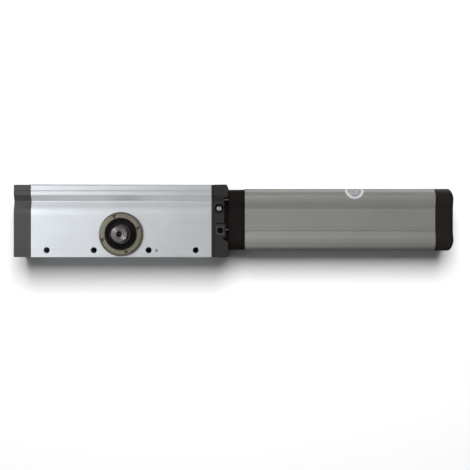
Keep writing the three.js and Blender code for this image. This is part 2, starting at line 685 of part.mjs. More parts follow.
function motorTurning() {
  const shaftStart = PUMP.start + 26.3;
  const shaftEnd = STATOR.start + STATOR.length + 25;
  const coupling = turned(
    [[STUB + 0.3, 0], [9, 0], [9, 9], [MOTOR_SHAFT + 0.3, 9], [MOTOR_SHAFT + 0.3, 5], [STUB + 0.3, 5]],
  );
  return [
    part("pump_drive_gear", pumpGear(0, shaftStart - 0.3), steel, [0, PACK.y, MID], ALONG_X),
    part("motor_coupling", coupling, steel, [PUMP.start + 21.5, PACK.y, MID], ALONG_X),
    part("motor_shaft", rod(MOTOR_SHAFT, shaftStart + 0.5, shaftEnd, 0, 0), steel, [0, PACK.y, MID], ALONG_X),
    part(
      "rotor_core",
      ring(STATOR.bore - 0.6, MOTOR_SHAFT + 0.3, 2, STATOR.length - 2),
      castIron,
      [STATOR.start, PACK.y, MID],
      ALONG_X,
    ),
  ];
}

// ---------------------------------------------------------------- collar, tank and right-hand end
const CABLE_INLET = { x: BLOCK_END + 12, radius: 6.5, bore: 3.6 };
const TIE_AT = [[1, 1], [1, -1], [-1, 1], [-1, -1]].map(([u, v]) => [PACK.y + TIE.u * u, MID + TIE.v * v]);
const FILLER = { y: PACK.y + 24, radius: 9 };

function collar() {
  const start = BLOCK_END + SEAM;
  const band = cut(
    prism(packOutline(2.2), start, COLLAR_END),
    prism(packOutline(7), start - 1, COLLAR_END + 1),
  );
  const boss = ring(5, TIE.radius + 0.3, start + 10, COLLAR_END);
  const bosses = TIE_AT.map(([y, z]) => boss.translate([y, z, 0]));
  const holes = TIE_AT.map(([y, z]) => rod(TIE.radius + 0.3, start + 10, COLLAR_END + 1, y, z));
  const inlet = aimed(rod(CABLE_INLET.radius, 0, 20, 0, 0), ALONG_Y, [CABLE_INLET.x, 58, MID]);
  const shape = aimed(cut(join(band, ...bosses), ...holes), ALONG_X);
  return part("collar", cut(shape, inlet), collarPlastic);
}

function cableGrommet() {
  const [out, inner] = [CABLE_INLET.radius, CABLE_INLET.bore];
  const wall = PACK.y + PACK.halfHeight - 7;
  const grommet = turned(
    [
      [inner, -1.6], [out + 1.6, -1.6], [out + 1.6, -0.4], [out - 0.3, -0.4], [out - 0.3, 5],
      [out + 1.6, 5], [out + 1.6, 5.6], [inner + 0.8, 5.9], [inner, 5.6],
    ],
  );
  return part("cable_grommet", grommet, rubber, [CABLE_INLET.x, wall, MID], ALONG_Y);
}

function tankTube() {
  const shape = cut(
    prism(packOutline(), TANK.start, TANK_END),
    prism(packOutline(TANK_WALL), TANK.start - 1, TANK_END + 1),
  );
  return part("tank_housing", shape, greyPaint, [0, 0, 0], ALONG_X);
}

function gasket(name, low, high) {
  const sheet = cut(prism(packOutline(0.6), low, high), prism(packOutline(3), low - 1, high + 1));
  return part(name, sheet, rubber, [0, 0, 0], ALONG_X);
}

function rightEndCap() {
  const low = TANK_END + 1.2;
  const high = RIGHT_CAP_END;
  const blank = prism(packOutline(), low - 20, high - 10, bevel(13, 3, 10));
  const shell = cut(
    blank,
    block([PACK.y - 60, -5, low - 40], [PACK.y + 60, JACK.depth + 5, low]),
    prism(packOutline(4), low - 1, low + 12),
  );
  const holes = TIE_AT.flatMap(([y, z]) => [
    rod(TIE.radius + 0.3, low - 1, high + 1, y, z),
    rod(4.8, high - 9, high + 1, y, z),
  ]);
  const filler = [
    rod(6.3, low, high + 1, FILLER.y, MID),
    rod(FILLER.radius + 0.3, high - 4, high + 1, FILLER.y, MID),
  ];
  return part("right_end_cap", cut(shell, ...holes, ...filler), collarPlastic, [0, 0, 0], ALONG_X);
}

function fillerPlug() {
  const body = turned(
    [
      [0, -14], [6, -14], [6, 0], [FILLER.radius, 0], [FILLER.radius, 2.6], [FILLER.radius - 0.6, 3.2],
      [0, 3.2],
    ],
  );
  return part(
    "filler_plug",
    cut(body, hexBar(4.6, -1.5, 4)),
    blackCasting,
    [RIGHT_CAP_END - 4 + SEAM, FILLER.y, MID],
    ALONG_X,
  );
}

/** The round label, bent over the tank's upper corner. */
function roundLabel() {
  const film = cut(
    prism(packOutline(-0.55), LABEL.x - 16, LABEL.x + 16, { curveSegments: 5 }),
    prism(packOutline(-0.3), LABEL.x - 20, LABEL.x + 20, { curveSegments: 5 }),
  );
  const centre = [LABEL.x, PACK.y + PACK.halfHeight - PACK.corner, MID + PACK.halfDepth - PACK.corner];
  const lean = new THREE.Euler(-LABEL.tilt, 0, 0);
  const disc = aimed(rod(LABEL.radius, 2, 40), lean, centre);
  return part("round_label", aimed(film, ALONG_X).intersect(disc), labelPaper);
}

function tank() {
  const reach = RIGHT_CAP_END - COLLAR_END + 4.5;
  const screw = socketScrew({ shank: TIE.radius, head: 4.4, headHeight: 5 }, reach);
  return [
    collar(),
    cableGrommet(),
    gasket("collar_gasket", COLLAR_END + 0.2, TANK.start - 0.2),
    tankTube(),
    gasket("end_cap_gasket", TANK_END + 0.2, TANK_END + 1),
    rightEndCap(),
    ...TIE_AT.map(([y, z], i) =>
      part(`tie_bolt_${i + 1}`, screw, zinc, [RIGHT_CAP_END - 9 + SEAM, y, z], ALONG_X),
    ),
    fillerPlug(),
    roundLabel(),
  ];
}

// ---------------------------------------------------------------- the opener
/** A group of meshes that move as one body. */
function body(...meshes) {
  const group = new THREE.Group();
  group.add(...meshes);
  return group;
}

const ballPlug = solid(new THREE.SphereGeometry(BALL_PLUG.radius, 12, 8));
const ballPlugAt = [BALL_PLUG.x, BALL_PLUG.y, JACK.depth - 1];
const idlerFirstTooth = Math.PI + Math.PI / PUMP.teeth;
const idler = pumpGear(idlerFirstTooth, PUMP.start + 16.5);

const opener = new THREE.Group();
opener.add(
  body(
    jackBody(),
    part("duct_ball_plug", ballPlug, zinc, ballPlugAt),
    ...leftEnd(),
    ringNut(),
    ...shaftBearings(),
    ...rightEnd(),
    ...pump(),
    ...motorStill(),
    ...tank(),
  ),
  body(outputShaft()),
  body(rackPiston(), ...pistonSeals()),
  body(...motorTurning()),
  body(part("pump_idler_gear", idler, steel, [0, IDLER_Y, MID], ALONG_X)),
  body(releaseSpindle()),
  body(bleedScrew()),
  ...bypassScrews().map((screw) => body(screw)),
);
export default opener;
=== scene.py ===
"""Finished surfaces, finishes and a plain studio for an in-line hydraulic gate operator.

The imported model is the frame: it gives every place and outer size. Each visible piece is a surface
worked out here with numpy, in metres, and stands for the plain solid of the same name.
"""

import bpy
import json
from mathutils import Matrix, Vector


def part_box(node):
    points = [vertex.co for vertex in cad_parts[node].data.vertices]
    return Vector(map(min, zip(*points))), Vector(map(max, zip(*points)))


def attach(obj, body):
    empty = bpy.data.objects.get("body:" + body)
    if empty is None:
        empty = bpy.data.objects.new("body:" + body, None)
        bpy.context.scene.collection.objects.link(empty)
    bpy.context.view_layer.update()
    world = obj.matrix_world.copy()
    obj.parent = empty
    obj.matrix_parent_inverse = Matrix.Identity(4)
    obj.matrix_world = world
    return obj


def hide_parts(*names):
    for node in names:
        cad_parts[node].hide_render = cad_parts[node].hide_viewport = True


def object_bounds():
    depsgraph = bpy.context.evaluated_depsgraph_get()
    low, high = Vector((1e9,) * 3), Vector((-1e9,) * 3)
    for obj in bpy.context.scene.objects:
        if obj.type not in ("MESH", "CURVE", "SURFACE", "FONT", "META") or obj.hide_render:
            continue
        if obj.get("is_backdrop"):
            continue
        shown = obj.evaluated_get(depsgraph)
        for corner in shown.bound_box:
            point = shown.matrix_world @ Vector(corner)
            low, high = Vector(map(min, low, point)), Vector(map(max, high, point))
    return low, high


bl_info = {
    "name": "Hydraulic Gate Operator",
    "version": (1, 0, 0),
    "blender": (4, 5, 0),
    "location": "3D View > Sidebar > Gate Operator",
    "description": "Builds the pieces, finishes and studio of an in-line hydraulic gate operator",
    "category": "Add Mesh",
}

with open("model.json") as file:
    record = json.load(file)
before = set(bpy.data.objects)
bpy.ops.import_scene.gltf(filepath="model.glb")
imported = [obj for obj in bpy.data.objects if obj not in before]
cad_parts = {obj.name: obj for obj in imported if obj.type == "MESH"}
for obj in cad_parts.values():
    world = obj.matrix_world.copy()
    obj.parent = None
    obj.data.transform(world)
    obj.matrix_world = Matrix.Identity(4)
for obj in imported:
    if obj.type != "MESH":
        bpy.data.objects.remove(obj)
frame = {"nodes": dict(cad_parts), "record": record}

import json
from math import pi, radians

import bmesh
import bpy
import numpy as np
from bpy.props import FloatProperty, FloatVectorProperty, IntProperty, PointerProperty

CAD_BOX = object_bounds()
MM = 0.001
CYLINDER_RADIUS = 25 * MM
DUCT_RADIUS = 3.5 * MM
DUCT_PLACE = (0, 38 * MM, 8 * MM)
LABEL_TURN = radians(50)
SLOTS = {part["node"]: part["material_slot"] for part in frame["record"]["subparts"]}
BODIES = {node: body for body, nodes in frame["record"]["behaviour"]["bodies"].items() for node in nodes}


# ---------------------------------------------------------------- sizes and colours a user would change
def length_setting(name, description, millimetres, **limits):
    return FloatProperty(
        name=name, description=description, default=millimetres * MM, unit="LENGTH", **limits)


def power_setting(name, description, watts):
    return FloatProperty(name=name, description=description, default=watts, unit="POWER")


def colour_setting(name, description, *default):
    return FloatVectorProperty(name=name, description=description, subtype="COLOR", default=default)


class OperatorSizes(bpy.types.PropertyGroup):
    """Shape details that the frame doesn't give."""

    edge_radius: length_setting("Edge radius", "Rounding of the extrusions' long edges", 0.6, min=0.1 * MM)
    jack_corner: length_setting("Jack corner", "Radius of the jack's two upper corners", 2.4)
    groove_depth: length_setting("Groove depth", "Depth of the jack's V groove", 5)
    tank_corner: length_setting("Tank corner", "Radius of the tank's corners", 15.5)
    waist_recess: length_setting(
        "Waist recess", "How far the tank's flat waist lies below its bulges", 2.7)
    wall: length_setting("Wall", "Wall of the tank and the left end cap", 2.6)
    spline_teeth: IntProperty(
        name="Spline teeth", description="Teeth of the output shaft's spline", default=30, min=6)
    pinion_teeth: IntProperty(
        name="Pinion teeth", description="Teeth of the output shaft's pinion", default=18, min=8)
    thread_pitch: length_setting("Thread pitch", "Pitch of the thread in the shaft's end", 1.25)
    hole_chamfer: length_setting("Hole chamfer", "Chamfer at the mouths of the mounting holes", 0.5)


class OperatorColours(bpy.types.PropertyGroup):
    """Colours of the finishes that show."""

    aluminium: colour_setting("Anodised aluminium", "Jack body", 0.75, 0.77, 0.79)
    tank: colour_setting("Tank coating", "Grey tank", 0.335, 0.33, 0.31)
    cap: colour_setting("End cap plastic", "Left end cap", 0.030, 0.026, 0.027)
    casting: colour_setting("Black casting", "Valve block", 0.013, 0.0115, 0.0105)
    collar: colour_setting("Collar plastic", "Collar and right end cap", 0.0075, 0.0050, 0.0046)
    steel: colour_setting("Machined steel", "Output shaft", 0.27, 0.25, 0.255)
    zinc: colour_setting("Zinc plate", "Screws", 0.72, 0.71, 0.69)
    olive: colour_setting("Olive zinc", "Ring nut", 0.235, 0.23, 0.165)
    label: colour_setting("Label", "Round label", 0.34, 0.33, 0.345)


class StudioSettings(bpy.types.PropertyGroup):
    """Camera, lights and floor."""

    camera_height: FloatProperty(
        name="Camera height", description="Height of the camera above the mounting face",
        default=1.482, unit="LENGTH")
    lens: FloatProperty(name="Lens", description="Focal length in millimetres", default=69.2, min=1)
    key_power: power_setting("Key light", "Power of the main light", 140)
    panel_power: power_setting("Left panel", "Power of the panel above the left end", 3.7)
    ceiling_power: power_setting("Ceiling", "Power of the wide pale ceiling", 1.0)
    lamp_power: power_setting("Lamp", "Power of the small lamp at the upper left", 6.5)
    card_power: power_setting("Cards", "Power of the left card, and twice that of the other two", 5.0)
    ambient: FloatProperty(
        name="Ambient", description="Brightness of the surroundings on matt surfaces", default=0.12, min=0)
    surroundings: FloatProperty(
        name="Surroundings", description="Brightness of the surroundings in gloss", default=0.2, min=0)
    horizon: FloatProperty(
        name="Horizon", description="Brightness at the horizon in gloss", default=0.1, min=0)
    floor: colour_setting("Floor", "Colour of the floor", 0.71, 0.71, 0.71)


def sizes():
    return bpy.context.scene.gate_operator_sizes


def colours():
    return bpy.context.scene.gate_operator_colours


def studio():
    return bpy.context.scene.gate_operator_studio


def span(node):
    """A node's lowest and highest corner as two arrays."""
    low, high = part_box(node)
    return np.array(low), np.array(high)


def middle(node):
    low, high = span(node)
    return (low + high) / 2


# ---------------------------------------------------------------- outlines and surfaces
def unit(vectors):
    return vectors / np.linalg.norm(vectors, axis=1, keepdims=True)


def left_of(vectors):
    return np.column_stack((-vectors[:, 1], vectors[:, 0]))


def rounded(corners, radii, steps=6, depth=0.0):
    """A closed outline with every corner turned into an arc, moved inwards by a depth.

    An arc starts on its first side, back from the corner by the radius times the tangent of half the
    turn. Its centre is one radius to the inner side, and its points swing about that by the turn.
    The depth moves the corners and takes from the radius of an outer corner and adds to an inner one.
    """
    corners = inset(np.asarray(corners, float), depth)
    radius = np.broadcast_to(np.asarray(radii, float), len(corners))[:, None]
    into = unit(corners - np.roll(corners, 1, 0))
    out = np.roll(into, -1, 0)
    cross = into[:, 0] * out[:, 1] - into[:, 1] * out[:, 0]
    turn = np.arctan2(cross, (into * out).sum(1))[:, None]
    radius = np.maximum(radius - depth * np.sign(turn), np.minimum(radius, 0.05 * MM))
    start = corners - into * radius * np.tan(np.abs(turn) / 2)
    centre = start + left_of(into) * np.sign(turn) * radius
    arm = start - centre
    swing = turn * np.linspace(0, 1, steps + 1)
    across = centre[:, :1] + arm[:, :1] * np.cos(swing) - arm[:, 1:] * np.sin(swing)
    up = centre[:, 1:] + arm[:, :1] * np.sin(swing) + arm[:, 1:] * np.cos(swing)
    return np.stack((across, up), -1).reshape(-1, 2)


def inset(outline, distance):
    """A closed outline moved inwards: each point goes along the mean of its two sides' normals,
    by the distance over the cosine of half the turn between them."""
    before = left_of(unit(outline - np.roll(outline, 1, 0)))
    after = np.roll(before, -1, 0)
    return outline + distance * (before + after) / (1 + (before * after).sum(1, keepdims=True))


def along_x(outline, stations):
    """A grid of rings: the outline of each station's depth, drawn in Y and Z, at the station's X."""
    return np.stack([np.insert(outline(depth), 0, x, axis=1) for x, depth in stations])


def soft_ends(low, high, edge, depth=0.0):
    """Stations from low to high at a depth, drawn in by the edge at both ends."""
    return [(low, depth + edge), (low + edge, depth), (high - edge, depth), (high, depth + edge)]


def in_mm(points, origin=(0, 0)):
    """Points given in millimetres from an origin, as metres."""
    return np.asarray(origin, float) + MM * np.asarray(points, float)


def turns(steps):
    return np.linspace(0, 2 * pi, steps, endpoint=False)


def round_grid(radius, turn, height):
    """A grid about z: x and y are the radius times the cosine and sine of the turn, z is the height."""
    return np.stack((radius * np.cos(turn), radius * np.sin(turn), height), -1)


def row_grid(rows, turn):
    """A grid about z from rows of a radius and a height, each one number or one for every turn."""
    radius, height = (np.stack([np.broadcast_to(row[i], turn.shape) for row in rows]) for i in (0, 1))
    return round_grid(radius, turn, height)


def revolved(profile, steps=96, form=None):
    """A grid about z from a profile.

    A profile's rows are radius, height and, where a form is given, how much of that form the row
    takes: the radius is then multiplied by the form, a function of the turn.
    """
    profile = np.asarray(profile, float)
    turn = turns(steps)
    radius = np.repeat(profile[:, :1], steps, axis=1)
    if form is not None:
        radius = radius * (1 + profile[:, 2:3] * (form(turn) - 1))
    return round_grid(radius, turn, np.repeat(profile[:, 1:2], steps, axis=1))


def plain(profile):
    """Profile rows that stay round."""
    return np.insert(np.asarray(profile, float), 2, 0.0, axis=1)


def shaped(profile):
    """Profile rows that take their form in full."""
    return np.insert(np.asarray(profile, float), 2, 1.0, axis=1)


def polygon(sides, bluntness=1.0):
    """A polygon's radius at a turn, for corners at radius 1, with its corners cut to the bluntness."""
    def form(turn):
        half = pi / sides
        return np.minimum(np.cos(half) / np.cos(np.mod(turn, 2 * half) - half), bluntness)
    return form


def slot_form(width):
    """A slot's radius at a turn, for an arm of length 1 and this half width."""
    def form(turn):
        return np.minimum(1 / np.maximum(np.abs(np.cos(turn)), 1e-6),
                          width / np.maximum(np.abs(np.sin(turn)), 1e-6))
    return form


def cross_form(width):
    """A cross recess: the larger of two slots at right angles."""
    one = slot_form(width)
    return lambda turn: np.maximum(one(turn), one(turn + pi / 2))


AXES = {
    "+Z": ((1, 0, 0), (0, 1, 0), (0, 0, 1)),
    "+X": ((0, 0, 1), (1, 0, 0), (0, 1, 0)),
    "-X": ((0, 0, -1), (1, 0, 0), (0, -1, 0)),
    "+Y": ((1, 0, 0), (0, 0, 1), (0, -1, 0)),
}


def aimed(grid, axis, at):
    """The grid with its drawn z turned to the axis and its drawn origin moved to a point."""
    return grid @ np.array(AXES[axis], float).T + np.asarray(at, float)


def quads(rows, columns, closed):
    """Four-sided faces of a grid whose columns close on themselves, and its rows too if closed."""
    here = np.arange(rows * columns).reshape(rows, columns)
    beside = np.roll(here, -1, 1)
    faces = np.stack((here, beside, np.roll(beside, -1, 0), np.roll(here, -1, 0)), -1)
    return (faces if closed else faces[:-1]).reshape(-1, 4)


def settle(mesh, crease=28):
    """Joins doubled points, turns the faces outwards and keeps edges sharper than the crease."""
    work = bmesh.new()
    work.from_mesh(mesh)
    bmesh.ops.remove_doubles(work, verts=work.verts, dist=0.002 * MM)
    loose = [vertex for vertex in work.verts if not vertex.link_faces]
    bmesh.ops.delete(work, geom=loose, context="VERTS")
    bmesh.ops.recalc_face_normals(work, faces=work.faces)
    work.to_mesh(mesh)
    work.free()
    mesh.shade_smooth()
    mesh.set_sharp_from_angle(angle=radians(crease))


def surface(name, grid, closed=False, crease=28):
    """A new object from a grid. A grid that isn't closed has its end rings filled."""
    rows, columns = grid.shape[:2]
    faces = quads(rows, columns, closed).tolist()
    if not closed:
        faces += [list(range(columns)), list(range((rows - 1) * columns, rows * columns))]
    mesh = bpy.data.meshes.new(name)
    mesh.from_pydata(grid.reshape(-1, 3), [], faces)
    settle(mesh, crease)
    piece = bpy.data.objects.new(name, mesh)
    bpy.context.scene.collection.objects.link(piece)
    return piece


def combine(piece, tools, operation="DIFFERENCE"):
    """Cuts the tools from a piece, or joins them to it, and removes them."""
    for tool in tools:
        step = piece.modifiers.new(tool.name, "BOOLEAN")
        step.operation = operation
        step.solver = "EXACT"
        step.object = tool
    seen = piece.evaluated_get(bpy.context.evaluated_depsgraph_get())
    mesh = bpy.data.meshes.new_from_object(seen)
    piece.modifiers.clear()
    piece.data = mesh
    settle(mesh)
    for tool in tools:
        bpy.data.objects.remove(tool)
    return piece


def turned(name, profile, axis, at, steps=48, form=None):
    """A new object from a profile revolved about an axis through a point."""
    return surface(name, aimed(revolved(profile, steps, form), axis, at))


def finish_piece(piece, *nodes, even=True, finish=None):
    """Gives a piece the finish and body that the tables give the nodes it stands for, and hides those nodes.
    """
    slot = SLOTS[nodes[0]]
    piece.data.materials.clear()
    piece.data.materials.append((finish or FINISHES[slot])())
    if even:
        normals = piece.modifiers.new("Even normals", "WEIGHTED_NORMAL")
        normals.keep_sharp = True
    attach(piece, BODIES[nodes[0]])
    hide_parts(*nodes)
    return piece


# ---------------------------------------------------------------- sections of the two extrusions
def jack_outline(inward=0.0):
    """The jack's section in Y and Z: a box with two round corners, and front and back a V groove
    with a fine score line above it."""
    (_, bottom, back), (_, top, front) = span("jack_body")
    size = sizes()
    start, root, end = bottom + 71.5 * MM, bottom + 87.5 * MM, bottom + 96.5 * MM
    depth, edge, corner = size.groove_depth, size.edge_radius, size.jack_corner
    line, score, half = top - 9.9 * MM, 0.3 * MM, 0.8 * MM
    corners = [
        (bottom, back), (start, back), (root, back + depth), (end, back), (line - half, back),
        (line, back + score), (line + half, back), (top, back), (top, front), (line + half, front),
        (line, front - score), (line - half, front), (end, front), (root, front - depth),
        (start, front), (bottom, front),
    ]
    side = [edge, 45 * MM, 4 * MM, 2 * edge, edge / 2, edge / 2, edge / 2, corner]
    return rounded(corners, side + side[::-1], 8, inward)


def tank_outline(inward=0.0, score=0.0):
    """The tank's section in Y and Z: four round corners and a flat waist between two bulges. With a
    score, a V line of that depth runs down the waist beside each bulge."""
    (_, bottom, back), (_, top, front) = span("tank_housing")
    size = sizes()
    middle_y = (bottom + top) / 2
    waist, crown, recess = 18.6 * MM, 28.5 * MM, size.waist_recess
    steps = [(waist, 0)]
    if score:
        steps += [(waist - 0.3 * MM, 0), (waist - 0.9 * MM, score), (waist - 1.5 * MM, 0)]
    half = [(crown, 0)] + [(y, recess + depth) for y, depth in steps]
    side = half + [(-y, depth) for y, depth in half[::-1]]
    corners = [(top, back), (top, front), *[(middle_y + y, front - depth) for y, depth in side],
               (bottom, front), (bottom, back), *[(middle_y - y, back + depth) for y, depth in side]]
    corner, crease, swell = size.tank_corner, 0.3 * MM, 20 * MM
    radii = [corner, corner, swell, *[crease] * (len(side) - 2), swell] * 2
    return rounded(corners, radii, 16, inward)


# ---------------------------------------------------------------- jack
def bar_tool(name, radius, low, high, at, axis="+Z", chamfer=0.0, steps=64):
    """A round cutting tool that runs on past both ends of the solid.

    With a chamfer its profile widens one for one over that length and beyond, at both ends.
    """
    past = 1 * MM
    flare = radius + chamfer + past
    profile = [
        (0, low - past), (flare, low - past), (radius, low + chamfer), (radius, high - chamfer),
        (flare, high + past), (0, high + past),
    ]
    if not chamfer:
        profile = [(0, low - past), (radius, low - past), (radius, high + past), (0, high + past)]
    return turned(name, profile, axis, at, steps)


def stepped_bore(name, at, start, end, bore, head, sink, lip=None, steps=48):
    """A cutting tool along X for a bore with a seat for a head, sunk below the end. A lip is how far
    from the end the seat starts to flare, and its radius 1 mm past the end."""
    seat, past = end - sink, end + MM
    rows = [(0, start), (bore, start), (bore, seat), (head, seat)]
    rows += [(head, end - lip[0]), (lip[1], past)] if lip else [(head, past)]
    return turned(name, [*rows, (0, past)], "+X", at, steps)


def cylinder_bore(length):
    return bar_tool("bore", CYLINDER_RADIUS, *length, (0, *middle("rack_piston")[1:]), "+X", steps=128)


def oil_duct(length):
    return bar_tool("duct", DUCT_RADIUS, *length, DUCT_PLACE, "+X", steps=32)


def mounting_holes():
    openings = frame["record"]["physics"]["openings"]
    boxes = [np.array(o["box_m"]) for o in openings if o["name"].startswith("mounting_hole")]
    return [box.mean(0)[:2] for box in boxes]


def screw_centres(stem, count):
    """The middle of each numbered screw in Y and Z."""
    return [middle(f"{stem}_{number + 1}")[1:] for number in range(count)]


def build_jack_body():
    low, high = span("jack_body")
    length = (low[0], high[0])
    body = surface("jack_extrusion", along_x(jack_outline, soft_ends(*length, 0.25 * MM)))
    bush_low, bush_high = span("rear_bush")
    plug_x, plug_y, _ = middle("duct_ball_plug")
    tools = [cylinder_bore(length)]
    tools += [
        bar_tool(f"hole_{number}", 4.5 * MM, low[2], high[2], (x, y, 0), chamfer=sizes().hole_chamfer)
        for number, (x, y) in enumerate(mounting_holes())
    ]
    tools += [
        bar_tool("pocket", 31 * MM, bush_high[2] + 1.3 * MM, span("ring_nut")[1][2], (0, 0, 0), steps=128),
        bar_tool("seat", bush_high[0] + 0.3 * MM, bush_low[2] + 0.7 * MM, bush_high[2] + 2 * MM, (0, 0, 0)),
        oil_duct(length),
        bar_tool("plug_hole", 2.1 * MM, high[2] - 2 * MM, high[2], (plug_x, plug_y, 0), steps=32),
    ]
    tapped = 15 * MM
    tools += [
        bar_tool(f"tapping_{side}_{number}", 3.3 * MM, x - tapped, x + tapped, (0, y, z), "+X", steps=24)
        for side, x in enumerate(length)
        for number, (y, z) in enumerate(screw_centres("left_head_screw", 4))
    ]
    finish_piece(combine(body, tools), "jack_body")


def build_ball_plug():
    """A half circle revolved."""
    low, high = span("duct_ball_plug")
    radius = (high[2] - low[2]) / 2
    turn = np.linspace(-pi / 2, pi / 2, 25)
    profile = np.column_stack((radius * np.cos(turn), radius * np.sin(turn)))
    ball = turned("ball_plug", profile, "+Z", middle("duct_ball_plug"))
    finish_piece(ball, "duct_ball_plug", finish=FINISHES["zinc_plate"])


# ---------------------------------------------------------------- left end
def build_left_end_cap():
    """The jack's section along X: a rounded edge at the closed end, a face that lies a little lower
    than the jack, and a slope that rises to the jack's own section beside the open end."""
    low, high = span("left_end_cap")
    wall, start, end = sizes().wall, low[0], high[0]
    bend, sunk = 1.8 * MM, 0.3 * MM
    swing = np.linspace(0, pi / 2, 8)
    edge = [(start + bend * (1 - np.cos(a)), sunk + bend * (1 - np.sin(a))) for a in swing]
    slope = [(end - 5.4 * MM, sunk), (end - 0.5 * MM, 0), (end, 0.4 * MM)]
    cap = surface("left_cap_moulding", along_x(jack_outline, edge + slope))
    tools = [surface("hollow", along_x(jack_outline, [(start + wall, wall), (end + wall, wall)]))]
    seat = in_mm([(0, -2), (4.6, -2), (4.3, 1.6), (2.3, 1.6), (2.3, 6), (0, 6)])
    for number, (y, z) in enumerate(screw_centres("left_cap_screw", 2)):
        tools.append(turned(f"screw_seat_{number}", seat, "+X", (start, y, z)))
    finish_piece(combine(cap, tools), "left_end_cap")


def build_left_cap_screws():
    """A pan head: a quarter of an ellipse from the rim to the crown, then a cross recess."""
    for number, (y, z) in enumerate(screw_centres("left_cap_screw", 2)):
        low, high = span(f"left_cap_screw_{number + 1}")
        head, crown = 4 * MM, 1.2 * MM
        length = high[0] - low[0] - crown
        swing = np.linspace(0, radians(62), 10)
        dome = np.column_stack((head * np.cos(swing), -crown * np.sin(swing)))
        shank = [(0, length), (1.7 * MM, length), (2 * MM, length - 0.5 * MM), (2 * MM, 0), (head, 0)]
        top = -crown * np.sin(swing[-1])
        recess = [(2.1 * MM, top), (1.9 * MM, top + 0.1 * MM), (1.2 * MM, top + 1.1 * MM), (0, 0.1 * MM)]
        profile = np.vstack((plain(shank), plain(dome), shaped(recess)))
        at = (low[0] + crown, y, z)
        piece = turned(f"left_cap_pan_screw_{number + 1}", profile, "+X", at, 120, cross_form(0.26))
        finish_piece(piece, f"left_cap_screw_{number + 1}")


# ---------------------------------------------------------------- output shaft, ring nut and seal
def pinion_form(turn):
    """An involute pinion's radius at a turn, in metres.

    Half a tooth's angle at a radius is its half angle at the pitch circle, plus the involute of the
    pressure angle, minus the involute of the angle whose cosine is the base radius over the radius.
    """
    teeth, module, pressure, play = sizes().pinion_teeth, 3 * MM, radians(20), 0.3 * MM
    pitch = teeth * module / 2
    base = pitch * np.cos(pressure)
    radius = np.linspace(base, pitch + module, 12)
    angle = np.arccos(base / radius)
    half = pi / (2 * teeth) - play / (4 * pitch) + (np.tan(pressure) - pressure) - (np.tan(angle) - angle)
    step = 2 * pi / teeth
    away = np.abs(np.mod(turn - pi / 2 + step / 2, step) - step / 2)
    root = pitch - 1.25 * module
    return np.interp(away, np.append(half[::-1], half[0] + 0.02), np.append(radius[::-1], root))


def spline_form(turn):
    """The spline's radius at a turn, for tips at 1: flat tips and roots with sloping flanks."""
    wave = np.clip(0.5 + 0.95 * np.cos(sizes().spline_teeth * turn), 0, 1)
    return 0.905 + 0.095 * wave


def build_output_shaft():
    """Rows of one radius each, of the pinion's or the spline's radius by turn, of the end face's
    turning grooves, and of the thread, whose radius rises and falls with height and turn."""
    low, high = span("output_shaft")
    back, end = low[2], high[2]
    turn = turns(540)
    nut, seal = span("ring_nut")[1][2], span("shaft_seal")[0][2]
    tip, journal, land = 13.4 * MM, 18 * MM, 15 * MM
    gear_low, gear_high, soft = 20 * MM, 62 * MM, 0.6 * MM
    gear, spline = pinion_form(turn), tip * spline_form(turn)
    rows = [
        (0, back), (journal - MM, back), (journal, back + MM), (journal, gear_low),
        (gear - soft, gear_low), (gear, gear_low + soft), (gear, gear_high - soft),
        (gear - soft, gear_high), (journal, gear_high), (journal, seal - 0.6 * MM),
        (journal - 0.4 * MM, seal - 0.2 * MM), (land + 0.5 * MM, seal - 0.2 * MM),
        (land, seal + 0.3 * MM), (land, nut - 1.4 * MM), (land - 0.9 * MM, nut - 0.6 * MM),
        (np.minimum(spline, land - 1.6 * MM), nut - 0.6 * MM), (spline, end - 1.6 * MM),
        (np.minimum(spline, tip - 0.4 * MM), end - 1.0 * MM),
        (np.minimum(spline, tip - 1.25 * MM), end - 0.2 * MM),
    ]
    groove, groove_pitch = 0.043 * MM, 0.75 * MM
    face = np.linspace(tip - 1.5 * MM, 4.7 * MM, 61)
    rows += [(radius, end + groove * (np.cos(2 * pi * radius / groove_pitch) - 1)) for radius in face]
    rows.append((3.5 * MM, end - 1.2 * MM))
    pitch, root, depth = sizes().thread_pitch, 3.45 * MM, 0.55 * MM
    for height in np.arange(end - 1.3 * MM, end - 9 * MM, -pitch / 5):
        wave = np.abs(2 * np.mod(height / pitch - turn / (2 * pi), 1) - 1)
        rows.append((root + depth * wave, height))
    rows += [(3.4 * MM, end - 19.5 * MM), (0, end - 21.5 * MM)]
    finish_piece(surface("splined_output_shaft", row_grid(rows, turn), crease=35), "output_shaft")


def build_ring_nut():
    """A turned ring with rounded rims, less four blind pin holes."""
    low, high = span("ring_nut")
    face = span("jack_body")[1][2]
    radius, front, bore, shank = high[0] + 0.2 * MM, high[2], 24.2 * MM, 30.6 * MM
    corners = [
        (bore, low[2]), (shank, low[2]), (shank, face + 0.1 * MM), (radius, face + 0.1 * MM),
        (radius, front - 2.4 * MM), (31.2 * MM, front), (bore + 1 * MM, front), (bore, front - 1.4 * MM),
    ]
    radii = in_mm([0.2, 0.3, 0.2, 0.2, 0.5, 0.7, 0.3, 0.4], 0)
    ring = surface("ring_nut_turned", revolved(rounded(corners, radii, 5), 192), closed=True)
    pin = in_mm([(0, -6), (2.1, -6), (2.1, -0.8), (4.4, 0.53), (0, 0.53)], (0, front))
    circle, first = 29 * MM, radians(18.5)
    pins = []
    for number in range(4):
        turn = first + number * pi / 2
        at = (circle * np.cos(turn), circle * np.sin(turn), 0)
        pins.append(turned(f"pin_hole_{number}", pin, "+Z", at))
    finish_piece(combine(ring, pins), "ring_nut")


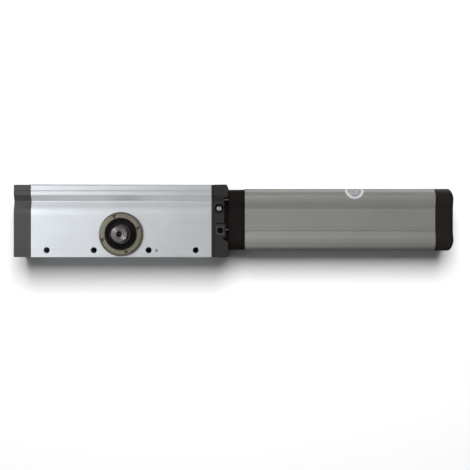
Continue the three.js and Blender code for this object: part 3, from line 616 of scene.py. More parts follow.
def build_shaft_seal():
    """A lip seal's section turned round: a rounded outer case, a hollow and a lip with its spring's
    bulge, on the shaft."""
    low, high = span("shaft_seal")
    outer, inner, bottom, top = high[0], 15.1 * MM, low[2], high[2]
    corners = [
        (inner + 0.4 * MM, bottom), (outer, bottom), (outer, top), (outer - 2.2 * MM, top),
        (outer - 3.6 * MM, top - 1.9 * MM), (inner + 3.4 * MM, top - 1.9 * MM),
        (inner + 2.2 * MM, top - 0.3 * MM), (inner + 0.6 * MM, top), (inner, top - 0.8 * MM),
        (inner + 0.9 * MM, top - 3 * MM),
    ]
    radii = in_mm([0.3, 0.3, 0.5, 0.5, 0.8, 0.8, 0.5, 0.3, 0.2, 0.6], 0)
    seal = surface("lip_seal", revolved(rounded(corners, radii, 5), 144), closed=True, crease=60)
    finish_piece(seal, "shaft_seal")


# ---------------------------------------------------------------- valve block
def upright(outline, low, high):
    """A grid along Z: the outline, drawn in X and Y, at two heights."""
    return np.stack([np.insert(outline, 2, z, axis=1) for z in (low, high)])


def build_end_plate():
    low, high = span("end_plate")
    length = (low[0], high[0])
    stations = soft_ends(*length, 0.5 * MM, 0.3 * MM)
    plate = surface("end_plate_ground", along_x(jack_outline, stations))
    tools = [cylinder_bore(length), oil_duct(length)]
    tools += [
        bar_tool(f"plate_hole_{number}", 3.3 * MM, *length, (0, y, z), "+X", steps=32)
        for number, (y, z) in enumerate(screw_centres("valve_block_screw", 4))
    ]
    finish_piece(combine(plate, tools), "end_plate")


def rectangle(low, high, radius):
    """A round-cornered rectangle in X and Y."""
    return rounded([low, (high[0], low[1]), high, (low[0], high[1])], radius, 8)


def build_valve_block():
    """The jack's section as a short block with rounded ends and a rim round the bleed recess, cut by
    its recesses and bores."""
    high = span("valve_block")[1]
    start, end = span("end_plate")[1][0] + 0.2 * MM, high[0]
    top, front = high[1], high[2]
    block = surface("valve_block_casting", along_x(jack_outline, soft_ends(start, end, 0.7 * MM)))

    bleed = middle("bleed_screw")
    guide_low, guide_high = span("release_guide")
    past, gap = 5 * MM, 0.25 * MM
    chamfer = rounded(in_mm([(-2.8, 1), (5, 1), (5, -17)], (end, top)), 0.01 * MM, 1)
    notch = rounded(
        in_mm([(5, -15.5), (5, 57), (-6.5, 57), (-6.5, 17.5), (-4.4, 15.2), (-4.4, -4.5), (-8.5, -6.2),
               (-8.5, -7.6)], (end, 0)),
        in_mm([0.1, 0.1, 1.2, 1, 1, 1, 0.4, 0.6], 0), 6)
    ledge_low, ledge_high = guide_high[1] + 2.2 * MM, guide_high[1] + 4.2 * MM
    ledge = rectangle((start + 2.6 * MM, ledge_low), (end + past, ledge_high), 0.6 * MM)
    socket = rectangle(guide_low[:2] - gap, guide_high[:2] + gap, 1 * MM)
    cup = in_mm([(0, -24), (3.1, -24), (3.1, -9.5), (6.4, -9.5), (6.8, -9), (7.2, 2), (0, 2)], (0, front))
    rim = in_mm([(7.3, -1), (8.9, -1), (8.9, -0.1), (8.4, 0.45), (7.7, 0.45), (7.3, -0.1)], (0, front))
    release_x, release_y, _ = middle("release_guide")
    tools = [
        surface("corner_cut", upright(chamfer, -past, front + past)),
        surface("edge_notch", upright(notch, front - 42 * MM, front + past)),
        surface("release_ledge", upright(ledge, front - 4 * MM, front + past)),
        surface("guide_pocket", upright(socket, guide_low[2] - 0.3 * MM, front + past)),
        turned("bleed_cup", cup, "+Z", (bleed[0], bleed[1], 0), 72),
        bar_tool("release_bore", 5.3 * MM, 46 * MM, front, (release_x, release_y, 0), steps=48),
    ]
    for number in (1, 2):
        node = f"bypass_screw_{number}"
        x, _, z = middle(node)
        tools.append(bar_tool(f"bypass_bore_{number}", 4.9 * MM, span(node)[0][1], top,
                              (x, 0, z), "+Y", chamfer=0.6 * MM, steps=48))
    for number, (y, z) in enumerate(screw_centres("valve_block_screw", 4)):
        tools.append(stepped_bore(f"counterbore_{number}", (0, y, z), start - MM, end, 3.3 * MM,
                                  5.3 * MM, 6.8 * MM, (0.4 * MM, 6.7 * MM)))
    ring = revolved(rounded(rim, 0.25 * MM, 4), 96) + (bleed[0], bleed[1], 0)
    combine(block, [surface("bleed_rim", ring, closed=True)], "UNION")
    finish_piece(combine(block, tools), "valve_block")
    build_spigot(start - 0.1 * MM)


def build_spigot(face):
    """The valve block's round nose from its face into the cylinder, with its seal's groove."""
    tip = span("valve_block")[0][0]
    radius, groove = 24.6 * MM, 22.4 * MM
    ring_low, ring_high = span("valve_block_o_ring")
    corners = [
        (0, face), (radius, face), (radius, ring_high[0] + MM), (groove, ring_high[0] + MM),
        (groove, ring_low[0] - MM), (radius, ring_low[0] - MM), (radius, tip), (0, tip),
    ]
    spigot = turned("valve_block_spigot", corners, "+X", (0, *middle("rack_piston")[1:]), 96)
    spigot.data.materials.append(FINISHES[SLOTS["valve_block"]]())
    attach(spigot, BODIES["valve_block"])


def build_bleed_screw():
    """A domed, chamfered head with a small hexagon socket over a plain shank and a sealing flange."""
    low, high = span("bleed_screw")
    x, y, _ = middle("bleed_screw")
    bottom, top = low[2], high[2]
    head, flange, shank = 4.0 * MM, bottom + 20 * MM, 3 * MM
    swing = np.linspace(0, pi / 2, 7)
    crown = np.column_stack((head - MM * (1 - np.cos(swing)), top - MM * (1 - np.sin(swing))))
    outside = np.vstack((
        [(0, bottom), (2.6 * MM, bottom), (shank, bottom + MM), (shank, flange - MM), (head, flange - MM)],
        crown, [(1.75 * MM, top)]))
    socket = in_mm([(1.7, -0.05), (1.45, -0.3), (1.4, -4), (0, -4.4)], (0, top))
    profile = np.vstack((plain(outside), shaped(socket)))
    finish_piece(turned("bleed_screw_head", profile, "+Z", (x, y, 0), 96, polygon(6)), "bleed_screw")


def build_release():
    """The key guide is a round-cornered square whose rows move to a circle at its hole. The spindle
    has a blunt three-sided key on a turned stem."""
    low, high = span("release_guide")
    half = (high - low) / 2
    x, y, _ = middle("release_guide")
    turn = turns(144)
    power = 9
    across, up = np.abs(np.cos(turn) / half[0]), np.abs(np.sin(turn) / half[1])
    square = (across ** power + up ** power) ** (-1 / power)
    hole, top, bottom, rim = 4.4 * MM, high[2], low[2], 1.7 * MM
    rows = [
        (square - 0.3 * MM, bottom), (square, bottom + 0.3 * MM), (square, top - 0.4 * MM),
        (square - 0.4 * MM, top), (square - rim + 0.3 * MM, top), (square - rim, top - 0.3 * MM),
        (square - rim - 0.2 * MM, top - MM), (hole + 0.5 * MM, top - MM), (hole, top - 1.5 * MM),
        (hole, bottom),
    ]
    guide = surface("release_key_guide", row_grid(rows, turn) + (x, y, 0), closed=True)
    finish_piece(guide, "release_guide", finish=FINISHES["cap_plastic"])

    low, high = span("release_spindle")
    x, y, _ = middle("release_spindle")
    bottom, key_at, top = low[2], high[2] - 7 * MM, high[2]
    stem = [*in_mm([(0, 0), (1.2, 0), (3, 3), (3, 16), (5, 16)], (0, bottom)),
            (5 * MM, key_at - MM), (4.2 * MM, key_at)]
    key = [(4 * MM, key_at), (4 * MM, top - 0.5 * MM), (3.4 * MM, top), (0, top)]
    profile = np.vstack((plain(stem), shaped(key)))
    spindle = turned("release_key_spindle", profile, "+Z", (x, y, 0), 96, polygon(3, 0.86))
    finish_piece(spindle, "release_spindle")


def build_bypass_screws():
    """A turned valve screw with a chamfered crown and a screwdriver slot."""
    radius, soft, neck = 4.6 * MM, 0.6 * MM, 3.4 * MM
    for number in (1, 2):
        node = f"bypass_screw_{number}"
        low, high = span(node)
        x, _, z = middle(node)
        length = high[1] - low[1]
        body = [*in_mm([(0, 0), (1.5, 0), (3.4, 4), (3.4, 14), (4.6, 14)]),
                (radius, length - soft), (radius - soft, length)]
        slot = [(neck, length), (neck, length - 1.5 * MM), (0, length - 1.5 * MM)]
        profile = np.vstack((plain(body), shaped(slot)))
        piece = turned(f"bypass_valve_screw_{number}", profile, "+Y", (x, low[1], z), 144, slot_form(0.2))
        finish_piece(piece, node)


# ---------------------------------------------------------------- collar, tank and right end
def build_collar():
    """The tank's section carried round a closed wall. Its neck is flatter than its lip beside the
    tank: there the height above the middle is multiplied by the station's last number."""
    low, high = span("collar")
    start, end, middle_z = low[0], high[0], (low[2] + high[2]) / 2
    out, wall, soft, flat = 1.2 * MM, 7 * MM, 0.5 * MM, 0.88
    stations = [
        (start, out + soft, flat), (start + soft, out, flat), (end - 7 * MM, out, flat),
        (end - 4.6 * MM, out, flat + 0.03), (end - 3.8 * MM, out, 0.985), (end - 3.4 * MM, out, 1),
        (end - soft, out, 1), (end, out + soft, 1), (end, wall, 0.9), (start, wall, flat),
    ]
    grid = along_x(tank_outline, [station[:2] for station in stations])
    height = np.array([station[2] for station in stations])[:, None]
    grid[:, :, 2] = middle_z + (grid[:, :, 2] - middle_z) * height
    band = surface("collar_moulding", grid, closed=True)
    x, _, z = middle("cable_grommet")
    inlet = bar_tool("inlet", 6.5 * MM, 58 * MM, 80 * MM, (x, 0, z), "+Y")
    # The collar's finish is its plastic darkened and dulled as painted shade.
    finish_piece(combine(band, [inlet]), "collar", finish=painted_shade_collar_plastic)


def build_cable_grommet():
    """A rubber bush with a flange each side of the wall and a soft ridge round its mouth."""
    low, high = span("cable_grommet")
    x, _, z = middle("cable_grommet")
    bottom, top, bore, neck, flange = low[1], high[1], 3.6 * MM, 6.3 * MM, 8.1 * MM
    corners = [
        (bore, bottom), (flange, bottom), (flange, bottom + 1.2 * MM), (neck, bottom + 1.2 * MM),
        (neck, top - 0.9 * MM), (flange, top - 0.9 * MM), (flange, top - 0.3 * MM), (bore + 1.4 * MM, top),
        (bore, top),
    ]
    radii = in_mm([0.3, 0.4, 0.4, 0.2, 0.2, 0.15, 0.2, 0.2, 0.2], 0)
    grid = aimed(revolved(rounded(corners, radii, 5), 96), "+Y", (x, 0, z))
    finish_piece(surface("cable_inlet_grommet", grid, closed=True, crease=60), "cable_grommet")


def build_gaskets():
    """The tank's section as a thin ring, a little inside its outside."""
    out, soft, wall = 0.6 * MM, 0.1 * MM, 3 * MM
    for name, node in (("collar_seal_sheet", "collar_gasket"), ("end_cap_seal_sheet", "end_cap_gasket")):
        low, high = span(node)
        section = [*soft_ends(low[0], high[0], soft, out), (high[0], wall), (low[0], wall)]
        finish_piece(surface(name, along_x(tank_outline, section), closed=True), node)


def build_tank():
    """The tank's section carried round a closed wall, with its score lines deep on the outside only."""
    low, high = span("tank_housing")
    start, end, wall, edge = low[0], high[0], sizes().wall, 0.3 * MM
    inside = [(x, wall - edge if x in (start, end) else wall) for x in (end, end - edge, start + edge, start)]

    def outline(inward):
        return tank_outline(inward, 0.8 * MM if inward < wall / 2 else 0.02 * MM)

    grid = along_x(outline, soft_ends(start, end, edge) + inside)
    finish_piece(surface("tank_extrusion", grid, closed=True), "tank_housing")


def build_right_end_cap():
    """The tank's section drawn in along a quarter of an ellipse at the far end, less in height than
    in Y, then hollowed from the tank's side and cut for its screws and the filler plug.

    A ring's height above the middle is multiplied by the half depth less a share of its inset, over
    the half depth less its inset.
    """
    low, high = span("right_end_cap")
    start, end, middle_z, half = low[0], high[0], (low[2] + high[2]) / 2, (high[2] - low[2]) / 2
    deep, wide, share, soft = 7.5 * MM, 16 * MM, 0.45, 0.5 * MM
    swing = np.linspace(0, pi / 2, 14)
    bend = [(end - deep * (1 - np.sin(a)), wide * (1 - np.cos(a))) for a in swing]
    stations = [(start, soft), (start + soft, 0), *bend[:-1], (end, wide - 0.6 * MM), (end, wide + 0.4 * MM)]
    grid = along_x(tank_outline, stations)
    depth = np.array([station[1] for station in stations])[:, None]
    grid[:, :, 2] = middle_z + (grid[:, :, 2] - middle_z) * (half - share * depth) / (half - depth)
    cap = surface("right_cap_moulding", grid)
    wall = 4 * MM
    tools = [surface("cap_hollow", along_x(tank_outline, [(start - MM, wall), (start + 12 * MM, wall)]))]
    for number, (y, z) in enumerate(screw_centres("tie_bolt", 4)):
        tools.append(stepped_bore(f"bolt_seat_{number}", (0, y, z), start, end, 2.8 * MM, 4.8 * MM, 9 * MM))
    tools.append(stepped_bore("filler_seat", (0, *middle("filler_plug")[1:]), start, end, 6.3 * MM,
                              9.3 * MM, 4 * MM, (0.5 * MM, 10.8 * MM), 72))
    finish_piece(combine(cap, tools), "right_end_cap")


def build_filler_plug():
    """A turned plug with a flange and a hexagon socket."""
    low, high = span("filler_plug")
    start, end = low[0], high[0]
    stem, flange, seat = 6 * MM, 9 * MM, end - 3.2 * MM
    outside = [
        (0, start), (stem, start), (stem, seat), (flange, seat),
        *in_mm([(9, -0.6), (8.4, 0), (6, 0), (5.6, -0.4)], (0, end)),
    ]
    socket = in_mm([(4.9, -0.4), (4.7, -0.6), (4.6, -4.4), (0, -5)], (0, end))
    profile = np.vstack((plain(outside), shaped(socket)))
    at = (0, *middle("filler_plug")[1:])
    finish_piece(turned("filler_plug_turned", profile, "+X", at, 144, polygon(6)), "filler_plug")


def socket_screw(radius, height, shank, length):
    """A socket screw's profile along z: its head stands on zero and its shank hangs below."""
    edge, key = 0.12 * radius, 0.55 * radius
    mouth = key * 1.12
    outside = [
        (0, -length), (shank - 0.5 * MM, -length), (shank, -length + 0.6 * MM), (shank, 0), (radius, 0),
        (radius, height - edge), (radius - 0.3 * edge, height - 0.3 * edge), (radius - edge, height),
        (mouth, height),
    ]
    socket = [(mouth, height - 0.02 * MM), (key, height - 0.3 * MM), (key, height * 0.5), (0, height * 0.4)]
    return np.vstack((plain(outside), shaped(socket)))


def build_socket_screws():
    """Every hexagon socket screw, its place and length taken from its node."""
    kinds = [
        ("left_head_screw", 4, "-X", 5 * MM, 6 * MM, 2.9 * MM),
        ("valve_block_screw", 4, "+X", 5 * MM, 6 * MM, 2.9 * MM),
        ("tie_bolt", 4, "+X", 4.4 * MM, 5 * MM, 2.5 * MM),
        ("pump_screw", 2, "+X", 4.2 * MM, 5 * MM, 2.4 * MM),
    ]
    for stem, count, axis, radius, height, shank in kinds:
        # The valve block's screws take the near-black, matt blackened steel: partly their black-oxide finish,
        # partly painted shade, so their heads go as dark as the shade of the recess they sit in.
        finish = FINISHES["blackened_steel"] if stem == "valve_block_screw" else None
        for number in range(1, count + 1):
            node = f"{stem}_{number}"
            low, high = span(node)
            seat = high[0] - height if axis == "+X" else low[0] + height
            profile = socket_screw(radius, height, shank, high[0] - low[0] - height)
            at = (seat, *middle(node)[1:])
            piece = turned(f"{stem}_socket_{number}", profile, axis, at, 96, polygon(6))
            finish_piece(piece, node, finish=finish)


def label_place():
    """The label's middle and radius along X, and the centre and radius of the corner it lies on."""
    low, high = span("round_label")
    corner = sizes().tank_corner
    return (low[0] + high[0]) / 2, (high[0] - low[0]) / 2, span("tank_housing")[1][1:] - corner, corner


def build_round_label():
    """A disc laid on the tank's corner: a point at a distance and turn from the label's centre goes
    that far along X, and round the corner by its other distance over the corner's radius."""
    middle_x, radius, pivot, corner = label_place()
    lift, thickness = 0.05 * MM, 0.22 * MM
    rows = np.array([
        (0.0, lift), (0.5, lift), (0.97, lift), (1.0, lift), (1.0, thickness * 0.7), (0.985, thickness),
        (0.9, thickness), (0.6, thickness), (0.3, thickness), (0.0, thickness),
    ])
    turn = turns(128)
    reach = radius * rows[:, :1]
    angle = LABEL_TURN + reach * np.sin(turn) / corner
    out = corner + rows[:, 1:] + 0 * turn
    across, up = pivot[0] + out * np.sin(angle), pivot[1] + out * np.cos(angle)
    grid = np.stack((middle_x + reach * np.cos(turn), across, up), -1)
    finish_piece(surface("round_blank_label", grid, crease=60), "round_label", even=False)


# ---------------------------------------------------------------- finishes
def add_node(tree, kind, inputs=None, **settings):
    """A shader node with its settings, and its inputs set to values or linked to other outputs."""
    made = tree.nodes.new(kind)
    for key, value in settings.items():
        setattr(made, key, value)
    for key, value in (inputs or {}).items():
        socket = made.inputs[key]
        if isinstance(value, bpy.types.NodeSocket):
            tree.links.new(value, socket)
        else:
            socket.default_value = value
    return made


def object_coordinates(tree, scale=(1, 1, 1)):
    coordinates = add_node(tree, "ShaderNodeTexCoord")
    inputs = {"Vector": coordinates.outputs["Object"], "Scale": scale}
    return add_node(tree, "ShaderNodeMapping", inputs).outputs["Vector"]


def noise(tree, scale, stretch=(1, 1, 1), detail=4.0, roughness=0.5):
    """Noise between 0 and 1 with this many features a metre along each axis."""
    vector = object_coordinates(tree, stretch)
    made = add_node(tree, "ShaderNodeTexNoise",
                    {"Vector": vector, "Scale": scale, "Detail": detail, "Roughness": roughness})
    return made.outputs["Fac"]


def remap(tree, value, low, high, start=0.3, end=0.7):
    """The value's range from start to end, spread from low to high."""
    made = add_node(tree, "ShaderNodeMapRange",
                    {"Value": value, "From Min": start, "From Max": end, "To Min": low, "To Max": high})
    return made.outputs["Result"]


def mix_colours(tree, factor, first, second):
    """A colour between two, each of them a colour or another node's output."""
    made = add_node(tree, "ShaderNodeMix", {0: factor}, data_type="RGBA")
    ends = [socket for socket in made.inputs if socket.type == "RGBA"]
    for socket, value in zip(ends, (first, second)):
        if isinstance(value, bpy.types.NodeSocket):
            tree.links.new(value, socket)
        else:
            socket.default_value = (*value, 1)
    return next(socket for socket in made.outputs if socket.type == "RGBA")


def bump(tree, height, strength, distance, normal=None):
    inputs = {"Height": height, "Strength": strength, "Distance": distance}
    if normal is not None:
        inputs["Normal"] = normal
    return add_node(tree, "ShaderNodeBump", inputs).outputs["Normal"]


def new_finish(name, **sockets):
    """A material with one principled shader, and that shader's plain sockets set."""
    material = bpy.data.materials.new(name)
    material.use_nodes = True
    tree = material.node_tree
    shader = tree.nodes["Principled BSDF"]
    for key, value in sockets.items():
        shader.inputs[key.replace("_", " ")].default_value = value
    return material, tree, shader


def shade(colour, factor):
    return tuple(min(1.0, channel * factor) for channel in colour)


def wire(tree, shader, **outputs):
    for key, value in outputs.items():
        tree.links.new(value, shader.inputs[key.replace("_", " ")])


def drawn_metal(name, colour, metallic, rough_low, rough_high, contrast):
    """Extruded metal: long die lines along X in colour, roughness and height over a cloudy tone."""
    material, tree, shader = new_finish(name, Metallic=metallic)
    fine = noise(tree, 1.0, (0.08, 1500, 1500), 3)
    broad = noise(tree, 1.0, (0.08, 190, 190), 4)
    cloud = noise(tree, 14.0, (1, 1.6, 1.6), 3)
    lines = add_node(tree, "ShaderNodeMath", {0: fine, 1: broad}, operation="MULTIPLY_ADD")
    tree.links.new(cloud, lines.inputs[2])
    mixed = remap(tree, lines.outputs[0], 0, 1, 0.5, 1.0)
    colour_out = mix_colours(tree, mixed, shade(colour, 1 - contrast), shade(colour, 1 + contrast))
    rough = remap(tree, broad, rough_low, rough_high)
    lined = bump(tree, fine, 0.12, 0.02 * MM)
    normal = bump(tree, broad, 0.10, 0.05 * MM, lined)
    wire(tree, shader, Base_Color=colour_out, Roughness=rough, Normal=normal)
    return material


def once(make):
    """A finish that is made the first time it is asked for."""
    kept = []

    def finish():
        if not kept:
            kept.append(make())
        return kept[0]

    return finish


def anodised_aluminium():
    return drawn_metal("anodised_aluminium", colours().aluminium, 0.88, 0.36, 0.46, 0.05)


def grey_coating():
    return drawn_metal("grey_coating", colours().tank, 0.75, 0.36, 0.44, 0.045)


def moulded(name, colour, rough_low, rough_high, grain, specular=0.5):
    """Moulded plastic: a fine sparked grain, a few flow clouds and paler scuffs."""
    material, tree, shader = new_finish(name, Specular_IOR_Level=specular)
    fine = noise(tree, 2600.0, detail=2)
    cloud = noise(tree, 35.0, detail=3)
    scuffs = noise(tree, 1.0, (60, 260, 900), 5, 0.7)
    patchy = remap(tree, scuffs, 0, 1, 0.60, 0.78)
    tone = mix_colours(tree, remap(tree, cloud, 0, 1), shade(colour, 0.85), shade(colour, 1.15))
    scuffed = mix_colours(tree, patchy, tone, shade(colour, 1.9))
    rough = remap(tree, cloud, rough_low, rough_high)
    wire(tree, shader, Base_Color=scuffed, Roughness=rough, Normal=bump(tree, fine, grain, 0.04 * MM))
    return material


def cap_plastic():
    return moulded("cap_plastic", colours().cap, 0.38, 0.5, 0.35)


def collar_plastic():
    return moulded("collar_plastic", colours().collar, 0.34, 0.46, 0.2, specular=0.38)


@once
def painted_shade_collar_plastic():
    """The collar plastic at 0.6 of its colour and with less gloss, as painted shade for the shade of the
    collar's recess beside the valve block; it is the same plastic as the right end cap's.
    """
    return moulded("painted_shade_collar_plastic", shade(colours().collar, 0.6), 0.5, 0.62, 0.3, specular=0.16)


def black_casting():
    """Black-finished casting: a coarse sand grain with a finer one on it."""
    material, tree, shader = new_finish("black_casting", Metallic=0.15)
    coarse = noise(tree, 520.0, detail=4)
    fine = noise(tree, 2400.0, detail=3)
    colour = colours().casting
    tone = mix_colours(tree, remap(tree, coarse, 0, 1), shade(colour, 0.75), shade(colour, 1.3))
    rough = remap(tree, coarse, 0.42, 0.58)
    normal = bump(tree, fine, 0.25, 0.03 * MM, bump(tree, coarse, 0.35, 0.12 * MM))
    wire(tree, shader, Base_Color=tone, Roughness=rough, Normal=normal)
    return material


def worked_metal(name, colour, roughness, spread, mark=0.1, contrast=0.12, metallic=1.0, specular=0.5):
    """Turned or plated metal: fine tool marks, small tonal clouds and light handling scratches."""
    material, tree, shader = new_finish(name, Metallic=metallic, Specular_IOR_Level=specular)
    cloud = noise(tree, 160.0, detail=4)
    marks = noise(tree, 1.0, (900, 900, 900), 3)
    scratch = noise(tree, 1.0, (1800, 260, 420), 5, 0.7)
    dark, pale = shade(colour, 1 - contrast), shade(colour, 1 + contrast)
    tone = mix_colours(tree, remap(tree, cloud, 0, 1), dark, pale)
    rough = remap(tree, scratch, roughness - spread, roughness + spread)
    normal = bump(tree, scratch, mark, 0.02 * MM, bump(tree, marks, mark, 0.02 * MM))
    wire(tree, shader, Base_Color=tone, Roughness=rough, Normal=normal)
    return material


def machined_steel():
    return worked_metal("machined_steel", colours().steel, 0.24, 0.06)


def zinc_plate():
    return worked_metal("zinc_plate", colours().zinc, 0.26, 0.06, contrast=0.08)


def blackened_steel():
    # Near-black and matt: a black-oxide finish, made darker and duller as painted shade for the screws in the
    # valve block's recess.
    return worked_metal("blackened_steel", (0.010, 0.009, 0.008), 0.55, 0.08, 0.1, 0.2, 0.0, 0.15)


def olive_zinc():
    """Passivated zinc: an olive base that drifts to a pinkish brown in patches."""
    material, tree, shader = new_finish("olive_zinc", Metallic=0.9)
    colour = colours().olive
    patches = noise(tree, 55.0, detail=3)
    fine = noise(tree, 700.0, detail=4)
    rosy = (colour[0] * 1.12, colour[1] * 0.93, colour[2] * 1.12)
    tone = mix_colours(tree, remap(tree, patches, 0, 1, 0.42, 0.62), shade(colour, 1.1), rosy)
    rough = remap(tree, fine, 0.30, 0.44)
    wire(tree, shader, Base_Color=tone, Roughness=rough, Normal=bump(tree, fine, 0.12, 0.03 * MM))
    return material


def bearing_bronze():
    return worked_metal("bearing_bronze", (0.55, 0.33, 0.14), 0.34, 0.08)


def cast_iron():
    return worked_metal("cast_iron", (0.11, 0.105, 0.10), 0.58, 0.1, 0.5, 0.25, 0.7)


def seal_rubber():
    """Matt black rubber with a faint bloom."""
    material, tree, shader = new_finish("seal_rubber", Specular_IOR_Level=0.18)
    bloom = noise(tree, 90.0, detail=4)
    grain = noise(tree, 1800.0, detail=2)
    tone = mix_colours(tree, remap(tree, bloom, 0, 1), (0.003, 0.002, 0.002), (0.008, 0.006, 0.006))
    rough = remap(tree, bloom, 0.5, 0.68)
    wire(tree, shader, Base_Color=tone, Roughness=rough, Normal=bump(tree, grain, 0.2, 0.03 * MM))
    return material


def copper_winding():
    """Lacquered wire: fine bands across the coil's turns."""
    material, tree, shader = new_finish("copper_winding", Metallic=0.85)
    vector = object_coordinates(tree)
    inputs = {"Vector": vector, "Scale": 320.0, "Distortion": 3.0, "Detail": 2.0}
    wires = add_node(tree, "ShaderNodeTexWave", inputs, bands_direction="X")
    tone = mix_colours(tree, wires.outputs["Fac"], (0.22, 0.07, 0.025), (0.55, 0.20, 0.08))
    rough = remap(tree, wires.outputs["Fac"], 0.28, 0.45, 0, 1)
    normal = bump(tree, wires.outputs["Fac"], 0.6, 0.3 * MM)
    wire(tree, shader, Base_Color=tone, Roughness=rough, Normal=normal)
    return material


def label_film():
    """A blank pale label: a pale border round a mottled darker middle, by the distance from its
    centre."""
    material, tree, shader = new_finish("label_film", Specular_IOR_Level=0.4)
    middle_x, radius, pivot, corner = label_place()
    centre = (middle_x, pivot[0] + corner * np.sin(LABEL_TURN), pivot[1] + corner * np.cos(LABEL_TURN))
    coordinates = add_node(tree, "ShaderNodeTexCoord")
    ends = {0: coordinates.outputs["Object"], 1: centre}
    offset = add_node(tree, "ShaderNodeVectorMath", ends, operation="DISTANCE")
    border = remap(tree, offset.outputs["Value"], 0, 1, radius * 0.72, radius * 0.78)
    smudge = noise(tree, 260.0, detail=2)
    colour = colours().label
    mottled = remap(tree, smudge, 0, 1, 0.4, 0.6)
    middle_tone = mix_colours(tree, mottled, shade(colour, 0.42), shade(colour, 0.72))
    printed = mix_colours(tree, border, middle_tone, tuple(colour))
    rough = remap(tree, smudge, 0.4, 0.55)
    wire(tree, shader, Base_Color=printed, Roughness=rough, Normal=bump(tree, smudge, 0.05, 0.02 * MM))
    return material


FINISHES = {
    make.__name__: once(make)
    for make in (
        anodised_aluminium, grey_coating, cap_plastic, black_casting, collar_plastic, machined_steel,
        zinc_plate, blackened_steel, olive_zinc, bearing_bronze, seal_rubber, cast_iron, copper_winding,
        label_film,
    )
}


def finish_inner_parts():
    """Gives every node of the model its finish, so that the ones that stay have it."""
    for name, node in frame["nodes"].items():
        node.data.materials.clear()
        node.data.materials.append(FINISHES[SLOTS[name]]())


# ---------------------------------------------------------------- studio
def sheet(name, low, high, height, material):
    """A flat sheet of a few squares between two corners, at a height."""
    steps = 9
    x, y = np.meshgrid(np.linspace(low[0], high[0], steps), np.linspace(low[1], high[1], steps))
    points = np.stack((x, y, np.full_like(x, height)), -1).reshape(-1, 3)
    here = np.arange(steps * steps).reshape(steps, steps)
    faces = np.stack((here[:-1, :-1], here[:-1, 1:], here[1:, 1:], here[1:, :-1]), -1).reshape(-1, 4)
    mesh = bpy.data.meshes.new(name)
    mesh.from_pydata(points, [], faces.tolist())
    mesh.materials.append(material)
    piece = bpy.data.objects.new(name, mesh)
    bpy.context.scene.collection.objects.link(piece)
    piece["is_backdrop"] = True
    return piece


def build_floor():
    """A wide floor that gloss doesn't see, and a mat under the jack that closes its through holes."""
    material, tree, shader = new_finish("floor", Roughness=0.9, Specular_IOR_Level=0.1)
    colour = studio().floor
    tone = mix_colours(tree, noise(tree, 3.0), shade(colour, 0.995), shade(colour, 1.005))
    wire(tree, shader, Base_Color=tone)
    back = CAD_BOX[0][2]
    floor = sheet("floor", (-4, -4), (4, 4), back - 0.4 * MM, material)
    floor.visible_glossy = False
    low, high = span("jack_body")
    sheet("mat", low[:2], high[:2], back - 0.2 * MM, material)


def add_light(name, place, target, width, height, power, colour=(1, 1, 1)):
    lamp = bpy.data.lights.new(name, "AREA")
    lamp.shape = "RECTANGLE"
    lamp.size, lamp.size_y = width, height
    lamp.energy = power
    lamp.color = colour
    light = bpy.data.objects.new(name, lamp)
    light.location = place
    aim = np.array(target, float) - np.array(place, float)
    light.rotation_mode = "QUATERNION"
    light.rotation_quaternion = Vector(aim).to_track_quat("-Z", "Y")
    bpy.context.scene.collection.objects.link(light)
    return light


def build_surroundings():
    """White behind the object and even on matt surfaces. In gloss, paler above than at the horizon,
    by the height of the direction that the gloss looks in."""
    settings = studio()
    world = bpy.data.worlds.new("studio")
    world.use_nodes = True
    tree = world.node_tree
    direction = add_node(tree, "ShaderNodeTexCoord")
    parts = add_node(tree, "ShaderNodeSeparateXYZ", {"Vector": direction.outputs["Generated"]})
    above = remap(tree, parts.outputs["Z"], settings.horizon, settings.surroundings, 0.05, 0.5)
    path = add_node(tree, "ShaderNodeLightPath")
    level = add_node(tree, "ShaderNodeMix",
                     {0: path.outputs["Is Glossy Ray"], "A": settings.ambient, "B": above})
    backdrop = add_node(tree, "ShaderNodeMix",
                        {0: path.outputs["Is Camera Ray"], "A": level.outputs[0], "B": 1.0})
    background = tree.nodes["Background"]
    background.inputs["Color"].default_value = (1, 1, 1, 1)
    tree.links.new(backdrop.outputs[0], background.inputs["Strength"])
    bpy.context.scene.world = world


def build_lights():
    """A soft main light beyond the operator's +Y side, which only matt shading sees, and a pale
    ceiling and a panel above the left end, which everything sees. A lamp and three cards are for
    gloss alone: the cards are for the edges that turn away."""
    settings = studio()
    cool = (0.92, 0.96, 1.0)
    key = add_light("key", (0.18, 1.2, 2.6), (0.18, 0, 0), 1.6, 1.6, settings.key_power)
    key.visible_glossy = False
    add_light("ceiling", (-0.2, 0.35, 1.9), (-0.2, 0.35, 0), 1.4, 2.4, settings.ceiling_power)
    add_light("left_panel", (-0.85, 0.10, 1.8), (-0.85, 0.10, 0), 1.1, 1.0, settings.panel_power, cool)
    low_card = settings.card_power / 2
    gloss_only = [
        add_light("lamp", (-1.05, 0.68, 1.6), (0, 0, 0.1), 0.45, 0.45, settings.lamp_power, cool),
        add_light("left_card", (-1.3, 0.3, 0.8), (0, 0, 0), 0.8, 0.8, settings.card_power, cool),
        add_light("far_card", (0.5, 0.85, -0.2), (0.35, 0.05, 0.05), 1.2, 0.8, low_card),
        add_light("near_card", (-0.3, -1.5, 0.9), (0.1, 0, 0.05), 1.8, 0.9, low_card),
    ]
    for light in gloss_only:
        light.visible_diffuse = False


def build_camera():
    """Straight above the operator, with +Y up in the picture."""
    settings = studio()
    lens = bpy.data.cameras.new("camera")
    lens.lens = settings.lens
    lens.sensor_width = 36
    camera = bpy.data.objects.new("camera", lens)
    camera.location = (0.1764, -0.0014, settings.camera_height)
    bpy.context.scene.collection.objects.link(camera)
    bpy.context.scene.camera = camera
    bpy.context.scene.view_settings.view_transform = "Standard"


